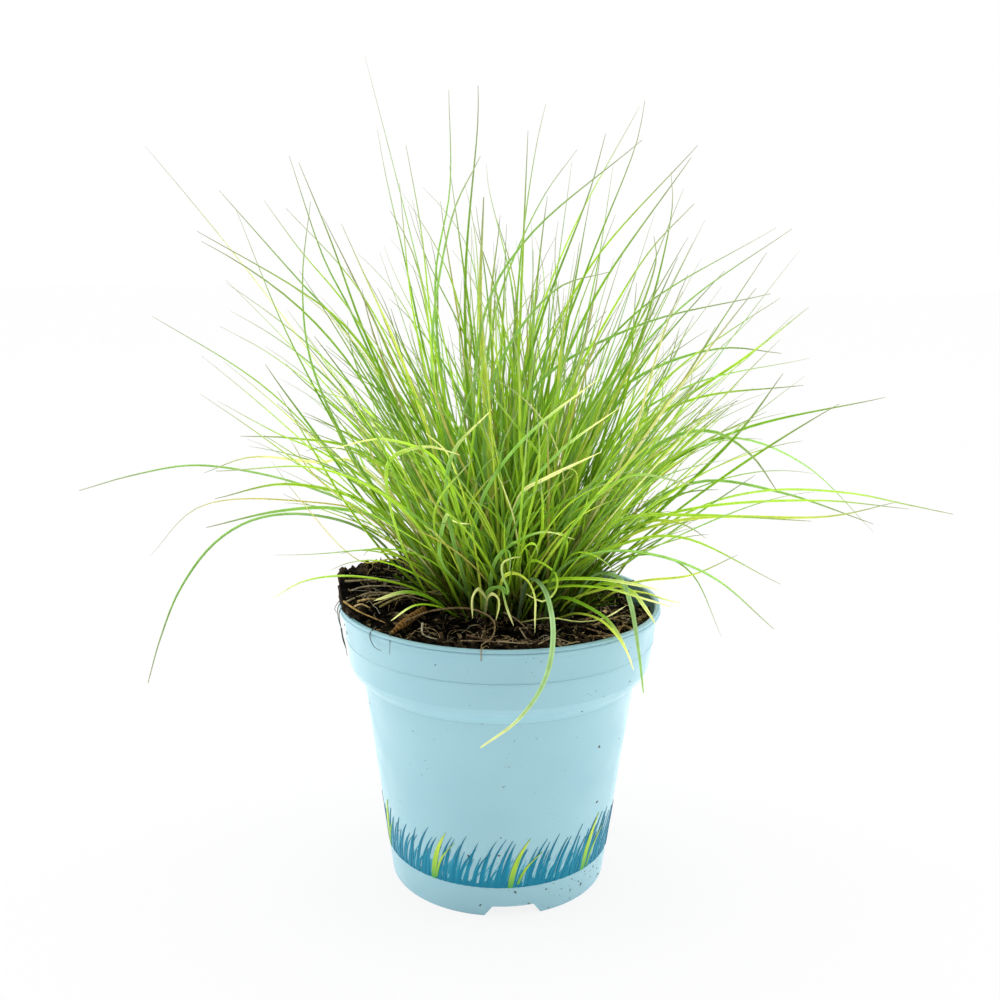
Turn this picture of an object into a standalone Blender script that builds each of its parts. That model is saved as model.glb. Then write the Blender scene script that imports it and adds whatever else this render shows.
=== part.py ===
"""Potted blue fescue: a nursery pot filled with compost, a low crown and its leaves.

Units are metres and +Z is up. The origin is on the pot's axis, on the surface
that the pot stands on. -Y is the front of the plant and +X its right-hand side.
Each tuft is one solid that stands for a spray of fine leaves and reaches their
tips. The long arching leaves at the edge of the clump are solids of their own.
"""
import math
import random

import bmesh
import bpy
from mathutils import Vector

MM = 0.001
GAP = 0.4 * MM                # clearance between pieces that touch

# Pot: radii and heights of the turned wall
POT_SIDES = 64
POT_HEIGHT = 106.9 * MM
RIM_RADIUS = 60.0 * MM
LIP_HEIGHT = 2.5 * MM         # rolled band around the mouth
COLLAR_TOP_RADIUS = 58.6 * MM
COLLAR_STEP = (57.6 * MM, 94.4 * MM)
COLLAR_FOOT = (56.4 * MM, 85.0 * MM)
SHOULDER_KNEE = (55.2 * MM, 82.4 * MM)
SHOULDER_FOOT = (51.1 * MM, 78.4 * MM)
BASE_RADIUS = 41.1 * MM
WALL = 1.0 * MM
FLOOR_LEVEL = 6.0 * MM        # underside of the pot's floor, above the ground
FLOOR_THICKNESS = 1.2 * MM
DRAIN_HOLES = 6
DRAIN_HOLE_RADIUS = 3.5 * MM
DRAIN_CIRCLE_RADIUS = 26.0 * MM
DRAIN_START = math.radians(37.0)
NOTCHES = 3
NOTCH_START = math.radians(7.0)
NOTCH_TOP_WIDTH = 15.0 * MM
NOTCH_FOOT_WIDTH = 22.0 * MM
NOTCH_HEIGHT = 4.0 * MM

# Compost: its surface leans, high at the left and low at the right
COMPOST_LEVEL = 103.8 * MM
COMPOST_LEFT_RISE = 9.5 * MM
COMPOST_RIGHT_DROP = 4.0 * MM
COMPOST_MOUND = 3.5 * MM
COMPOST_CLEARANCE = 0.5 * MM
COMPOST_RINGS = (0.17, 0.34, 0.5, 0.66, 0.83, 1.0)

# Crown: the low dome of old leaf bases that the leaves grow from
CROWN_CENTRE = Vector((4.0, 2.0, 0.0)) * MM
CROWN_RADII = (29.0 * MM, 23.0 * MM)
CROWN_EDGE = 1.2 * MM
CROWN_DOME = 3.0 * MM
CROWN_SIDES = 24
CROWN_RINGS = (0.3, 0.55, 0.8, 1.0)

# Tufts: sprays of leaves, steep at the middle of the crown and low at its edge
TUFTS = 38
TUFT_SIDES = 6
TUFT_STATIONS = 8
TUFT_LENGTH = 182.0 * MM
TUFT_EDGE_SHORTER = 46.0 * MM
TUFT_LENGTH_SPREAD = 0.07
TUFT_BASE_RADIUS = 2.1 * MM
TUFT_WAIST_RADIUS = 2.9 * MM
TUFT_TIP_RADIUS = 0.35 * MM
TUFT_REACH = 0.86            # share of the crown's radius that the tufts fill
TUFT_LEAN_ROOT = math.radians(46.0)
TUFT_LEAN_TIP = math.radians(61.0)
TUFT_DEPTH_LEAN = 0.10       # how much less the tufts lean to the front and the back
TUFT_OUTLIERS = {4: (1.11, 0.72), 17: (1.17, 0.98)}   # factors on length and on lean
GOLDEN_ANGLE = math.pi * (3.0 - math.sqrt(5.0))
SEED = 11

# Single leaves: width, thickness and route of each, in millimetres from root to tip
LEAF_WIDTH = 1.7 * MM
LEAF_THICKNESS = 0.9 * MM
LEAF_SIDES = 4
LEAF_STATIONS = 13
LEAF_ROUTES = {
    "leaf_front_arch": [(6, -25, 0), (9, -32, 123), (14, -48, 124), (16, -64, 114),
                        (13, -73, 102), (5, -75, 90), (-7, -72, 79)],
    "leaf_right_droop": [(24, -20, 0), (32, -29, 124), (40, -36, 125), (43, -45, 119),
                         (45, -53, 106), (47, -55, 91)],
    "leaf_right_long": [(15, -25, 0), (20, -33, 127), (34, -42, 136), (52, -48, 136),
                        (70, -50, 129), (91, -48, 111)],
    "leaf_right_far": [(36, 2, 0), (55, -5, 132), (75, -11, 146), (96, -16, 152),
                       (123, -21, 152), (141, -25, 149), (157, -27, 146)],
    "leaf_left_far": [(-28, 4, 0), (-48, 3, 137), (-70, 3, 148), (-93, 4, 154),
                      (-115, 5, 156), (-137, 5, 152), (-157, 6, 146)],
    "leaf_left_droop": [(-27, -6, 0), (-47, -11, 134), (-68, -15, 142), (-87, -18, 141),
                        (-101, -20, 133), (-114, -21, 116), (-122, -22, 97), (-127, -22, 81)],
    "leaf_left_low": [(-20, -18, 0), (-29, -19, 115), (-43, -18, 119), (-59, -17, 120),
                      (-72, -15, 117), (-82, -14, 111)],
    "leaf_right_rim": [(32, -10, 0), (42, -12, 113), (52, -13, 113), (60, -13, 110.5),
                       (66, -13, 109)],
    "leaf_right_pale": [(19, -24, 0), (26, -32, 111), (34, -44, 112), (40, -54, 107),
                        (43, -58, 100)],
    "leaf_back_high": [(8, 28, 0), (13, 58, 143), (18, 92, 168), (20, 130, 180)],
    "leaf_back_left": [(-18, 24, 0), (-36, 48, 145), (-58, 78, 168), (-82, 112, 172)],
    "leaf_back_right": [(28, 23, 0), (48, 46, 135), (72, 76, 152), (96, 104, 156)],
    "leaf_front_left": [(-12, -24, 0), (-30, -54, 150), (-52, -90, 172), (-74, -126, 178)],
    "leaf_front_right": [(12, -27, 0), (22, -62, 150), (34, -98, 172), (46, -130, 176)],
}

# Bark chip lying on the compost at the front left
BARK_CENTRE = Vector((-31.0, -31.0, 0.0)) * MM
BARK_HALF_SIZE = (11.0 * MM, 1.8 * MM, 1.3 * MM)
BARK_TURN = math.radians(68.0)
BARK_LIFT = 0.9 * MM


# --- Small helpers -----------------------------------------------------------

def smooth_step(value):
    """Ease from 0 to 1 as value goes from 0 to 1."""
    value = min(max(value, 0.0), 1.0)
    return value * value * (3.0 - 2.0 * value)


def material(name, colour, roughness, metallic=0.0):
    """A plain Principled material in linear colour."""
    made = bpy.data.materials.new(name)
    made.use_nodes = True
    shader = made.node_tree.nodes["Principled BSDF"]
    shader.inputs["Base Color"].default_value = (*colour, 1.0)
    shader.inputs["Roughness"].default_value = roughness
    shader.inputs["Metallic"].default_value = metallic
    return made


def add_object(name, mesh_data, finish):
    """Turn a bmesh into a smooth-shaded object of the scene."""
    bmesh.ops.recalc_face_normals(mesh_data, faces=mesh_data.faces)
    mesh = bpy.data.meshes.new(name)
    mesh_data.to_mesh(mesh)
    mesh_data.free()
    mesh.shade_smooth()
    mesh.set_sharp_from_angle(angle=math.radians(40.0))
    mesh.materials.append(finish)
    made = bpy.data.objects.new(name, mesh)
    bpy.context.scene.collection.objects.link(made)
    return made


def bridge(mesh_data, lower, upper):
    """Join two closed rings of the same number of vertices with quads."""
    count = len(lower)
    for i in range(count):
        j = (i + 1) % count
        mesh_data.faces.new((lower[i], lower[j], upper[j], upper[i]))


def fan(mesh_data, ring, apex):
    """Close a ring with triangles to one vertex."""
    for i, vertex in enumerate(ring):
        mesh_data.faces.new((vertex, ring[(i + 1) % len(ring)], apex))


def circle_point(radius, angle, height):
    return Vector((radius * math.sin(angle), -radius * math.cos(angle), height))


def smooth_route(points, count):
    """Points at even steps along a Catmull-Rom curve through the given ones."""
    ends = [2 * points[0] - points[1]] + points + [2 * points[-1] - points[-2]]
    route = []
    spans = len(points) - 1
    for step in range(count):
        place = step / (count - 1) * spans
        span = min(int(place), spans - 1)
        t = place - span
        a, b, c, d = ends[span:span + 4]
        route.append(0.5 * (2 * b + (c - a) * t + (2 * a - 5 * b + 4 * c - d) * t ** 2
                            + (3 * b - a - 3 * c + d) * t ** 3))
    return route


def swept(name, route, widths, thicknesses, sides, finish, root_height):
    """A closed tapering blade along a route, with its root cut to root_height(x, y)."""
    mesh_data = bmesh.new()
    across = None
    rings = []
    for i, centre in enumerate(route[:-1]):
        ahead = (route[i + 1] - route[max(i - 1, 0)]).normalized()
        if across is None:
            across = ahead.orthogonal().normalized()
        across = (across - ahead * across.dot(ahead)).normalized()
        up = ahead.cross(across)
        ring = []
        for k in range(sides):
            angle = 2.0 * math.pi * k / sides
            offset = (across * math.cos(angle) * widths[i] + up * math.sin(angle) * thicknesses[i])
            place = centre + offset * 0.5
            if i == 0:
                place = Vector((centre.x + offset.x * 0.5, centre.y + offset.y * 0.5, 0.0))
                place.z = root_height(place.x, place.y)
            ring.append(mesh_data.verts.new(place))
        rings.append(ring)
    for lower, upper in zip(rings, rings[1:]):
        bridge(mesh_data, lower, upper)
    mesh_data.faces.new(rings[0])
    fan(mesh_data, rings[-1], mesh_data.verts.new(route[-1]))
    return add_object(name, mesh_data, finish)


# --- Pot -----------------------------------------------------------------------

def outer_profile():
    """Radius and height up the outside of the pot, from the foot to the lip."""
    lip_foot = POT_HEIGHT - LIP_HEIGHT
    return [
        (BASE_RADIUS, 0.0),
        SHOULDER_FOOT,
        SHOULDER_KNEE,
        COLLAR_FOOT,
        COLLAR_STEP,
        (COLLAR_TOP_RADIUS, lip_foot),
        (RIM_RADIUS - 0.3 * MM, lip_foot),
        (RIM_RADIUS, lip_foot + 0.5 * MM),
        (RIM_RADIUS, POT_HEIGHT - 0.7 * MM),
        (RIM_RADIUS - 0.5 * MM, POT_HEIGHT),
    ]


def inner_radius(height):
    """Radius of the pot's inner wall at a height."""
    profile = [BASE_RADIUS, 0.0], SHOULDER_FOOT, SHOULDER_KNEE, COLLAR_FOOT, COLLAR_STEP
    points = [*profile, (COLLAR_TOP_RADIUS, POT_HEIGHT)]
    for (r_low, z_low), (r_high, z_high) in zip(points, points[1:]):
        if height <= z_high:
            share = (height - z_low) / (z_high - z_low)
            return r_low + (r_high - r_low) * share - WALL
    return COLLAR_TOP_RADIUS - WALL


def pot_profile():
    """The whole section of the pot, round the wall and the floor to the axis."""
    floor_top = FLOOR_LEVEL + FLOOR_THICKNESS
    inner = [(inner_radius(z), z) for z in (POT_HEIGHT - 1.0 * MM, COLLAR_STEP[1], COLLAR_FOOT[1],
                                            SHOULDER_KNEE[1], SHOULDER_FOOT[1], floor_top)]
    mouth = [(COLLAR_TOP_RADIUS - WALL + 0.4 * MM, POT_HEIGHT)]
    recess = [(inner_radius(FLOOR_LEVEL), FLOOR_LEVEL), (BASE_RADIUS - 1.4 * MM, 0.0)]
    return outer_profile() + mouth + inner, recess


def wedge(name, angle):
    """Cutter for one drainage notch in the foot, wider at the ground."""
    mesh_data = bmesh.new()
    rings = []
    for radius in (BASE_RADIUS - 6.0 * MM, BASE_RADIUS + 6.0 * MM):
        corners = [(-NOTCH_FOOT_WIDTH / 2, -1.0 * MM), (NOTCH_FOOT_WIDTH / 2, -1.0 * MM),
                   (NOTCH_TOP_WIDTH / 2, NOTCH_HEIGHT), (-NOTCH_TOP_WIDTH / 2, NOTCH_HEIGHT)]
        out = circle_point(1.0, angle, 0.0)
        side = Vector((-out.y, out.x, 0.0))
        ring = [out * radius + side * s + Vector((0.0, 0.0, z)) for s, z in corners]
        rings.append([mesh_data.verts.new(point) for point in ring])
    bridge(mesh_data, *rings)
    for ring in rings:
        mesh_data.faces.new(ring)
    return as_cutter(add_object(name, mesh_data, None))


def drill(name, angle):
    """Cutter for one round drain hole through the floor."""
    mesh_data = bmesh.new()
    centre = circle_point(DRAIN_CIRCLE_RADIUS, angle, 0.0)
    rings = []
    for height in (FLOOR_LEVEL - 1.0 * MM, FLOOR_LEVEL + FLOOR_THICKNESS + 1.0 * MM):
        ring = [centre + circle_point(DRAIN_HOLE_RADIUS, 2 * math.pi * k / 12, height)
                for k in range(12)]
        rings.append([mesh_data.verts.new(point) for point in ring])
    bridge(mesh_data, *rings)
    for ring in rings:
        mesh_data.faces.new(ring)
    return as_cutter(add_object(name, mesh_data, None))


def as_cutter(made):
    made.hide_render = True
    made.display_type = "WIRE"
    return made


def make_pot(finish):
    mesh_data = bmesh.new()
    wall, recess = pot_profile()
    rings = []
    for radius, height in wall + recess:
        rings.append([mesh_data.verts.new(circle_point(radius, 2 * math.pi * k / POT_SIDES, height))
                      for k in range(POT_SIDES)])
    for lower, upper in zip(rings[:len(wall)], rings[1:len(wall)]):
        bridge(mesh_data, lower, upper)
    floor_ring = rings[len(wall) - 1]
    fan(mesh_data, floor_ring, mesh_data.verts.new((0.0, 0.0, FLOOR_LEVEL + FLOOR_THICKNESS)))
    under_ring, foot_ring = rings[len(wall):]
    fan(mesh_data, under_ring, mesh_data.verts.new((0.0, 0.0, FLOOR_LEVEL)))
    bridge(mesh_data, under_ring, foot_ring)
    bridge(mesh_data, foot_ring, rings[0])
    pot = add_object("pot", mesh_data, finish)
    cutters = [wedge(f"notch_cutter_{k + 1}", NOTCH_START + 2 * math.pi * k / NOTCHES)
               for k in range(NOTCHES)]
    cutters += [drill(f"drain_cutter_{k + 1}", DRAIN_START + 2 * math.pi * k / DRAIN_HOLES)
                for k in range(DRAIN_HOLES)]
    for cutter in cutters:
        cut = pot.modifiers.new(cutter.name, "BOOLEAN")
        cut.operation = "DIFFERENCE"
        cut.solver = "EXACT"
        cut.object = cutter
    return pot


# --- Compost and crown ------------------------------------------------------------

def compost_top(x, y):
    """Height of the compost's surface."""
    left = smooth_step((-x - 14.0 * MM) / (40.0 * MM)) * smooth_step((y + 46.0 * MM) / (38.0 * MM))
    right = smooth_step((x - 14.0 * MM) / (36.0 * MM))
    spread = math.hypot(x - CROWN_CENTRE.x, y - CROWN_CENTRE.y) / (26.0 * MM)
    mound = COMPOST_MOUND * math.exp(-spread ** 2)
    return COMPOST_LEVEL + COMPOST_LEFT_RISE * left - COMPOST_RIGHT_DROP * right + mound


def make_compost(finish):
    mesh_data = bmesh.new()
    edge = COLLAR_TOP_RADIUS - WALL - COMPOST_CLEARANCE
    rings = []
    for share in COMPOST_RINGS:
        ring = []
        for k in range(POT_SIDES):
            angle = 2 * math.pi * k / POT_SIDES
            place = circle_point(edge * share, angle, 0.0)
            height = compost_top(place.x, place.y)
            if share == 1.0:
                place *= (inner_radius(height) - COMPOST_CLEARANCE) / edge
            ring.append(mesh_data.verts.new((place.x, place.y, height)))
        rings.append(ring)
    for height in (COLLAR_STEP[1], COLLAR_FOOT[1], SHOULDER_KNEE[1], SHOULDER_FOOT[1],
                   FLOOR_LEVEL + FLOOR_THICKNESS + GAP):
        radius = inner_radius(height) - COMPOST_CLEARANCE
        rings.append([mesh_data.verts.new(circle_point(radius, 2 * math.pi * k / POT_SIDES, height))
                      for k in range(POT_SIDES)])
    for upper, lower in zip(rings, rings[1:]):
        bridge(mesh_data, upper, lower)
    fan(mesh_data, rings[0], mesh_data.verts.new((0.0, 0.0, compost_top(0.0, 0.0))))
    mesh_data.faces.new(rings[-1])
    return add_object("compost", mesh_data, finish)


def crown_share(x, y):
    """0 at the crown's centre, 1 at its edge."""
    return math.hypot((x - CROWN_CENTRE.x) / CROWN_RADII[0], (y - CROWN_CENTRE.y) / CROWN_RADII[1])


def crown_top(x, y):
    """Height of the crown's upper side, or of the compost beyond its edge."""
    share = crown_share(x, y)
    if share > 1.0:
        return compost_top(x, y)
    return compost_top(x, y) + GAP + CROWN_EDGE + CROWN_DOME * (1.0 - share ** 2)


def make_crown(finish):
    mesh_data = bmesh.new()
    upper_rings = []
    lower_rings = []
    for share in CROWN_RINGS:
        upper_ring = []
        lower_ring = []
        for k in range(CROWN_SIDES):
            angle = 2 * math.pi * k / CROWN_SIDES
            x = CROWN_CENTRE.x + CROWN_RADII[0] * share * math.cos(angle)
            y = CROWN_CENTRE.y + CROWN_RADII[1] * share * math.sin(angle)
            top = compost_top(x, y) + GAP + CROWN_EDGE + CROWN_DOME * (1.0 - share ** 2)
            upper_ring.append(mesh_data.verts.new((x, y, top)))
            lower_ring.append(mesh_data.verts.new((x, y, compost_top(x, y) + GAP)))
        upper_rings.append(upper_ring)
        lower_rings.append(lower_ring)
    for rings in (upper_rings, lower_rings):
        for inner, outer in zip(rings, rings[1:]):
            bridge(mesh_data, inner, outer)
    bridge(mesh_data, upper_rings[-1], lower_rings[-1])
    centre_x, centre_y = CROWN_CENTRE.xy
    fan(mesh_data, upper_rings[0], mesh_data.verts.new((centre_x, centre_y,
                                                        crown_top(centre_x, centre_y))))
    fan(mesh_data, lower_rings[0], mesh_data.verts.new((centre_x, centre_y,
                                                        compost_top(centre_x, centre_y) + GAP)))
    return add_object("crown", mesh_data, finish)


def root_height(x, y):
    """Where a leaf's cut root sits, just clear of the crown or the compost."""
    return crown_top(x, y) + GAP


# --- Leaves ------------------------------------------------------------------------

def tuft_route(index, chance):
    """Centre line of one tuft: the further out its root, the more it leans and bows."""
    share = math.sqrt((index + 0.5) / TUFTS)
    angle = index * GOLDEN_ANGLE
    out = Vector((math.cos(angle), math.sin(angle), 0.0))
    root = CROWN_CENTRE + Vector((out.x * CROWN_RADII[0], out.y * CROWN_RADII[1], 0.0)) * (
        share * TUFT_REACH)
    root.z = root_height(root.x, root.y)
    length = (TUFT_LENGTH - TUFT_EDGE_SHORTER * share ** 2) * (
        1.0 + TUFT_LENGTH_SPREAD * chance.uniform(-1.0, 1.0))
    longer, steeper = TUFT_OUTLIERS.get(index, (1.0, 1.0))
    length *= longer
    bend = share * steeper * (1.0 - TUFT_DEPTH_LEAN * out.y ** 2)
    lean_root = TUFT_LEAN_ROOT * bend
    lean_tip = TUFT_LEAN_TIP * bend
    route = [root]
    for step in range(1, TUFT_STATIONS):
        lean = lean_root + (lean_tip - lean_root) * (step / (TUFT_STATIONS - 1))
        heading = out * math.sin(lean) + Vector((0.0, 0.0, math.cos(lean)))
        route.append(route[-1] + heading * (length / (TUFT_STATIONS - 1)))
    return route


def make_tufts(finish):
    chance = random.Random(SEED)
    for index in range(TUFTS):
        route = tuft_route(index, chance)
        radii = []
        for step in range(TUFT_STATIONS):
            t = step / (TUFT_STATIONS - 1)
            swell = TUFT_BASE_RADIUS + (TUFT_WAIST_RADIUS - TUFT_BASE_RADIUS) * math.sin(math.pi * t)
            radii.append(max(swell * (1.0 - t ** 2), TUFT_TIP_RADIUS))
        widths = [2.0 * radius for radius in radii]
        swept(f"tuft_{index + 1:02d}", route, widths, widths, TUFT_SIDES, finish, root_height)


def make_leaves(finish):
    for name, stops in LEAF_ROUTES.items():
        points = [Vector(stop) * MM for stop in stops]
        root = points[0]
        root.z = root_height(root.x, root.y)
        route = smooth_route(points, LEAF_STATIONS)
        taper = [1.0 - 0.75 * (step / (LEAF_STATIONS - 1)) ** 2 for step in range(LEAF_STATIONS)]
        widths = [LEAF_WIDTH * share for share in taper]
        thicknesses = [LEAF_THICKNESS * share for share in taper]
        swept(name, route, widths, thicknesses, LEAF_SIDES, finish, root_height)


# --- Bark chip -------------------------------------------------------------------------

def make_bark_chip(finish):
    """A rough splinter of bark, thinner at its ends, lying on the slope of the compost."""
    mesh_data = bmesh.new()
    chance = random.Random(SEED)
    along = Vector((math.cos(BARK_TURN), math.sin(BARK_TURN), 0.0))
    side = Vector((-along.y, along.x, 0.0))
    rings = []
    for place, size in ((-1.0, 0.5), (-0.6, 0.9), (0.0, 1.0), (0.6, 0.95), (1.0, 0.7)):
        ring = []
        for s, z in ((-1, -1), (1, -1), (1.1, 0.2), (0.4, 1.0), (-0.7, 0.9)):
            rough = 1.0 + 0.12 * chance.uniform(-1.0, 1.0)
            point = (BARK_CENTRE + along * place * BARK_HALF_SIZE[0]
                     + side * s * size * rough * BARK_HALF_SIZE[1])
            point.z = (compost_top(point.x, point.y) + BARK_LIFT
                       + (z + 1.0) * size * BARK_HALF_SIZE[2])
            ring.append(mesh_data.verts.new(point))
        rings.append(ring)
    for lower, upper in zip(rings, rings[1:]):
        bridge(mesh_data, lower, upper)
    mesh_data.faces.new(rings[0])
    mesh_data.faces.new(rings[-1])
    return add_object("bark_chip", mesh_data, finish)


def main():
    for old in list(bpy.data.objects):
        bpy.data.objects.remove(old, do_unlink=True)
    make_pot(material("pot_plastic", (0.43, 0.72, 0.83), 0.42))
    make_compost(material("compost", (0.022, 0.014, 0.009), 0.95))
    make_crown(material("crown", (0.12, 0.13, 0.03), 0.8))
    leaf_finish = material("leaf", (0.20, 0.40, 0.04), 0.5)
    make_tufts(leaf_finish)
    make_leaves(leaf_finish)
    make_bark_chip(material("bark", (0.25, 0.12, 0.04), 0.9))


main()
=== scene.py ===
"""Looks of the potted blue fescue clump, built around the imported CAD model.

Everything is in metres in the model's frame: +Z up, -Y the front of the plant.
"""
import math
import random

import bmesh
import bpy
import numpy as np
from mathutils import Matrix, Vector, noise


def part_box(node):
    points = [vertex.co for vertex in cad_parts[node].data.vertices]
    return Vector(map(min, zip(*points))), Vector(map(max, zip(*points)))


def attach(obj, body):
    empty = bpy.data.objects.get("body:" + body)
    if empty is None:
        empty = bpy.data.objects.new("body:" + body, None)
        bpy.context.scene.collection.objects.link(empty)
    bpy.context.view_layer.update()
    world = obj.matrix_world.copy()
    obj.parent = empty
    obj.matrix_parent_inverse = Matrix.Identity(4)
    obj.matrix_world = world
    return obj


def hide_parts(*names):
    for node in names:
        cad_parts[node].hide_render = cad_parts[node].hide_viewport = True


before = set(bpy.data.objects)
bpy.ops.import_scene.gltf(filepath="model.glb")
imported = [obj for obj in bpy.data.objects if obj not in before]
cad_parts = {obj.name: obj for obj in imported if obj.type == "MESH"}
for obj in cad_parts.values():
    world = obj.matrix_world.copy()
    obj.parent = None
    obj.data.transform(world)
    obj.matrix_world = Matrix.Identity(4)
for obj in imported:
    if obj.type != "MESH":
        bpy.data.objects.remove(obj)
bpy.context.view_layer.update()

MM = 0.001
BODY = "root"
POT_TOP_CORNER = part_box("pot")[1]
RIM_RADIUS = POT_TOP_CORNER[0]
POT_HEIGHT = POT_TOP_CORNER[2]


# --- Shared helpers ----------------------------------------------------------

def smooth_step(value):
    value = min(max(value, 0.0), 1.0)
    return value * value * (3.0 - 2.0 * value)


def unit(vector):
    return vector / np.linalg.norm(vector)


def keep(piece, slot, *nodes):
    """Ride on the model's one body and stand for the given CAD nodes; the slot is not used."""
    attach(piece, BODY)
    if nodes:
        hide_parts(*nodes)
    return piece


def new_object(name, vertices, faces, material, smooth=True, sharp_angle=None):
    mesh = bpy.data.meshes.new(name)
    mesh.from_pydata([tuple(v) for v in vertices], [], [tuple(f) for f in faces])
    mesh.materials.append(material)
    if smooth:
        mesh.shade_smooth()
    if sharp_angle is not None:
        mesh.set_sharp_from_angle(angle=math.radians(sharp_angle))
    piece = bpy.data.objects.new(name, mesh)
    bpy.context.scene.collection.objects.link(piece)
    return piece


class Nodes:
    """A material under construction: a Principled shader and short calls to add nodes."""

    def __init__(self, name, roughness=0.5, specular=0.5):
        self.material = bpy.data.materials.new(name)
        self.material.use_nodes = True
        self.tree = self.material.node_tree
        self.shader = self.tree.nodes["Principled BSDF"]
        self.shader.inputs["Roughness"].default_value = roughness
        self.shader.inputs["Specular IOR Level"].default_value = specular

    def add(self, kind, **settings):
        node = self.tree.nodes.new(kind)
        for key, value in settings.items():
            setattr(node, key, value)
        return node

    def link(self, source, target):
        self.tree.links.new(source, target)

    def position(self):
        return self.add("ShaderNodeTexCoord").outputs["Object"]

    def noise(self, coordinates, scale, detail=3.0, roughness=0.5, stretch=None):
        if stretch:
            mapping = self.add("ShaderNodeMapping")
            mapping.inputs["Scale"].default_value = stretch
            self.link(coordinates, mapping.inputs["Vector"])
            coordinates = mapping.outputs["Vector"]
        node = self.add("ShaderNodeTexNoise")
        node.inputs["Scale"].default_value = scale
        node.inputs["Detail"].default_value = detail
        node.inputs["Roughness"].default_value = roughness
        self.link(coordinates, node.inputs["Vector"])
        return node.outputs["Fac"]

    def ramp(self, factor, *stops):
        node = self.add("ShaderNodeValToRGB")
        elements = node.color_ramp.elements
        while len(elements) < len(stops):
            elements.new(0.5)
        for element, (place, colour) in zip(elements, stops):
            element.position = place
            element.color = (*colour, 1.0)
        self.link(factor, node.inputs["Fac"])
        return node.outputs["Color"]

    def range(self, factor, low, high, to_low, to_high):
        node = self.add("ShaderNodeMapRange")
        for key, value in (("From Min", low), ("From Max", high), ("To Min", to_low),
                           ("To Max", to_high)):
            node.inputs[key].default_value = value
        self.link(factor, node.inputs["Value"])
        return node.outputs["Result"]

    def mix(self, factor, first, second, blend="MIX"):
        node = self.add("ShaderNodeMix", data_type="RGBA", blend_type=blend)
        for socket, value in ((node.inputs["Factor"], factor), (node.inputs[6], first),
                              (node.inputs[7], second)):
            if isinstance(value, (int, float)):
                socket.default_value = value
            elif isinstance(value, tuple):
                socket.default_value = (*value, 1.0)
            else:
                self.link(value, socket)
        return node.outputs[2]

    def colour(self, source):
        self.link(source, self.shader.inputs["Base Color"])

    def roughness(self, source):
        self.link(source, self.shader.inputs["Roughness"])

    def bump(self, height, distance, strength=1.0):
        node = self.add("ShaderNodeBump")
        node.inputs["Distance"].default_value = distance
        node.inputs["Strength"].default_value = strength
        self.link(height, node.inputs["Height"])
        self.link(node.outputs["Normal"], self.shader.inputs["Normal"])


# --- Camera, light and floor ---------------------------------------------------

CAMERA_PLACE = Vector((-0.0069, -0.4038, 0.2292))
CAMERA_PITCH = math.radians(11.84)
CAMERA_YAW = math.radians(0.93)
CAMERA_ROLL = math.radians(-0.51)
CAMERA_LENS = 40.17

# The table's reflectance and glow as they light the pot, and then as the camera sees
# them, near the pot and far away
TABLE_HALF_WIDTH = 12.0
TABLE_WHITE = 0.88
TABLE_GLOW = 0.4
SEEN_WHITE_NEAR = 0.075
SEEN_WHITE_FAR = 0.115
SEEN_GLOW = 0.86

# Name, place, aim, size and power of each lamp
SOFTBOXES = [("softbox_left", (-0.75, 0.1, 0.45), (0.0, 0.0, 0.12), (0.5, 0.9), 3.3),
             ("softbox_right", (0.75, 0.1, 0.45), (0.0, 0.0, 0.12), (0.5, 0.9), 3.3),
             ("softbox_top", (0.0, 0.1, 1.1), (0.0, 0.0, 0.1), (0.8, 0.8), 6.4)]


def make_camera():
    ahead = Vector((math.cos(CAMERA_PITCH) * math.sin(CAMERA_YAW),
                    math.cos(CAMERA_PITCH) * math.cos(CAMERA_YAW), -math.sin(CAMERA_PITCH)))
    level = Vector((math.cos(CAMERA_YAW), -math.sin(CAMERA_YAW), 0.0))
    above = level.cross(ahead)
    right = level * math.cos(CAMERA_ROLL) - above * math.sin(CAMERA_ROLL)
    up = level * math.sin(CAMERA_ROLL) + above * math.cos(CAMERA_ROLL)
    data = bpy.data.cameras.new("camera")
    data.lens = CAMERA_LENS
    data.sensor_width = 36.0
    data.clip_start = 0.01
    camera = bpy.data.objects.new("camera", data)
    turn = Matrix((right, up, -ahead)).transposed().to_4x4()
    camera.matrix_world = Matrix.Translation(CAMERA_PLACE) @ turn
    bpy.context.scene.collection.objects.link(camera)
    bpy.context.scene.camera = camera


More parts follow.
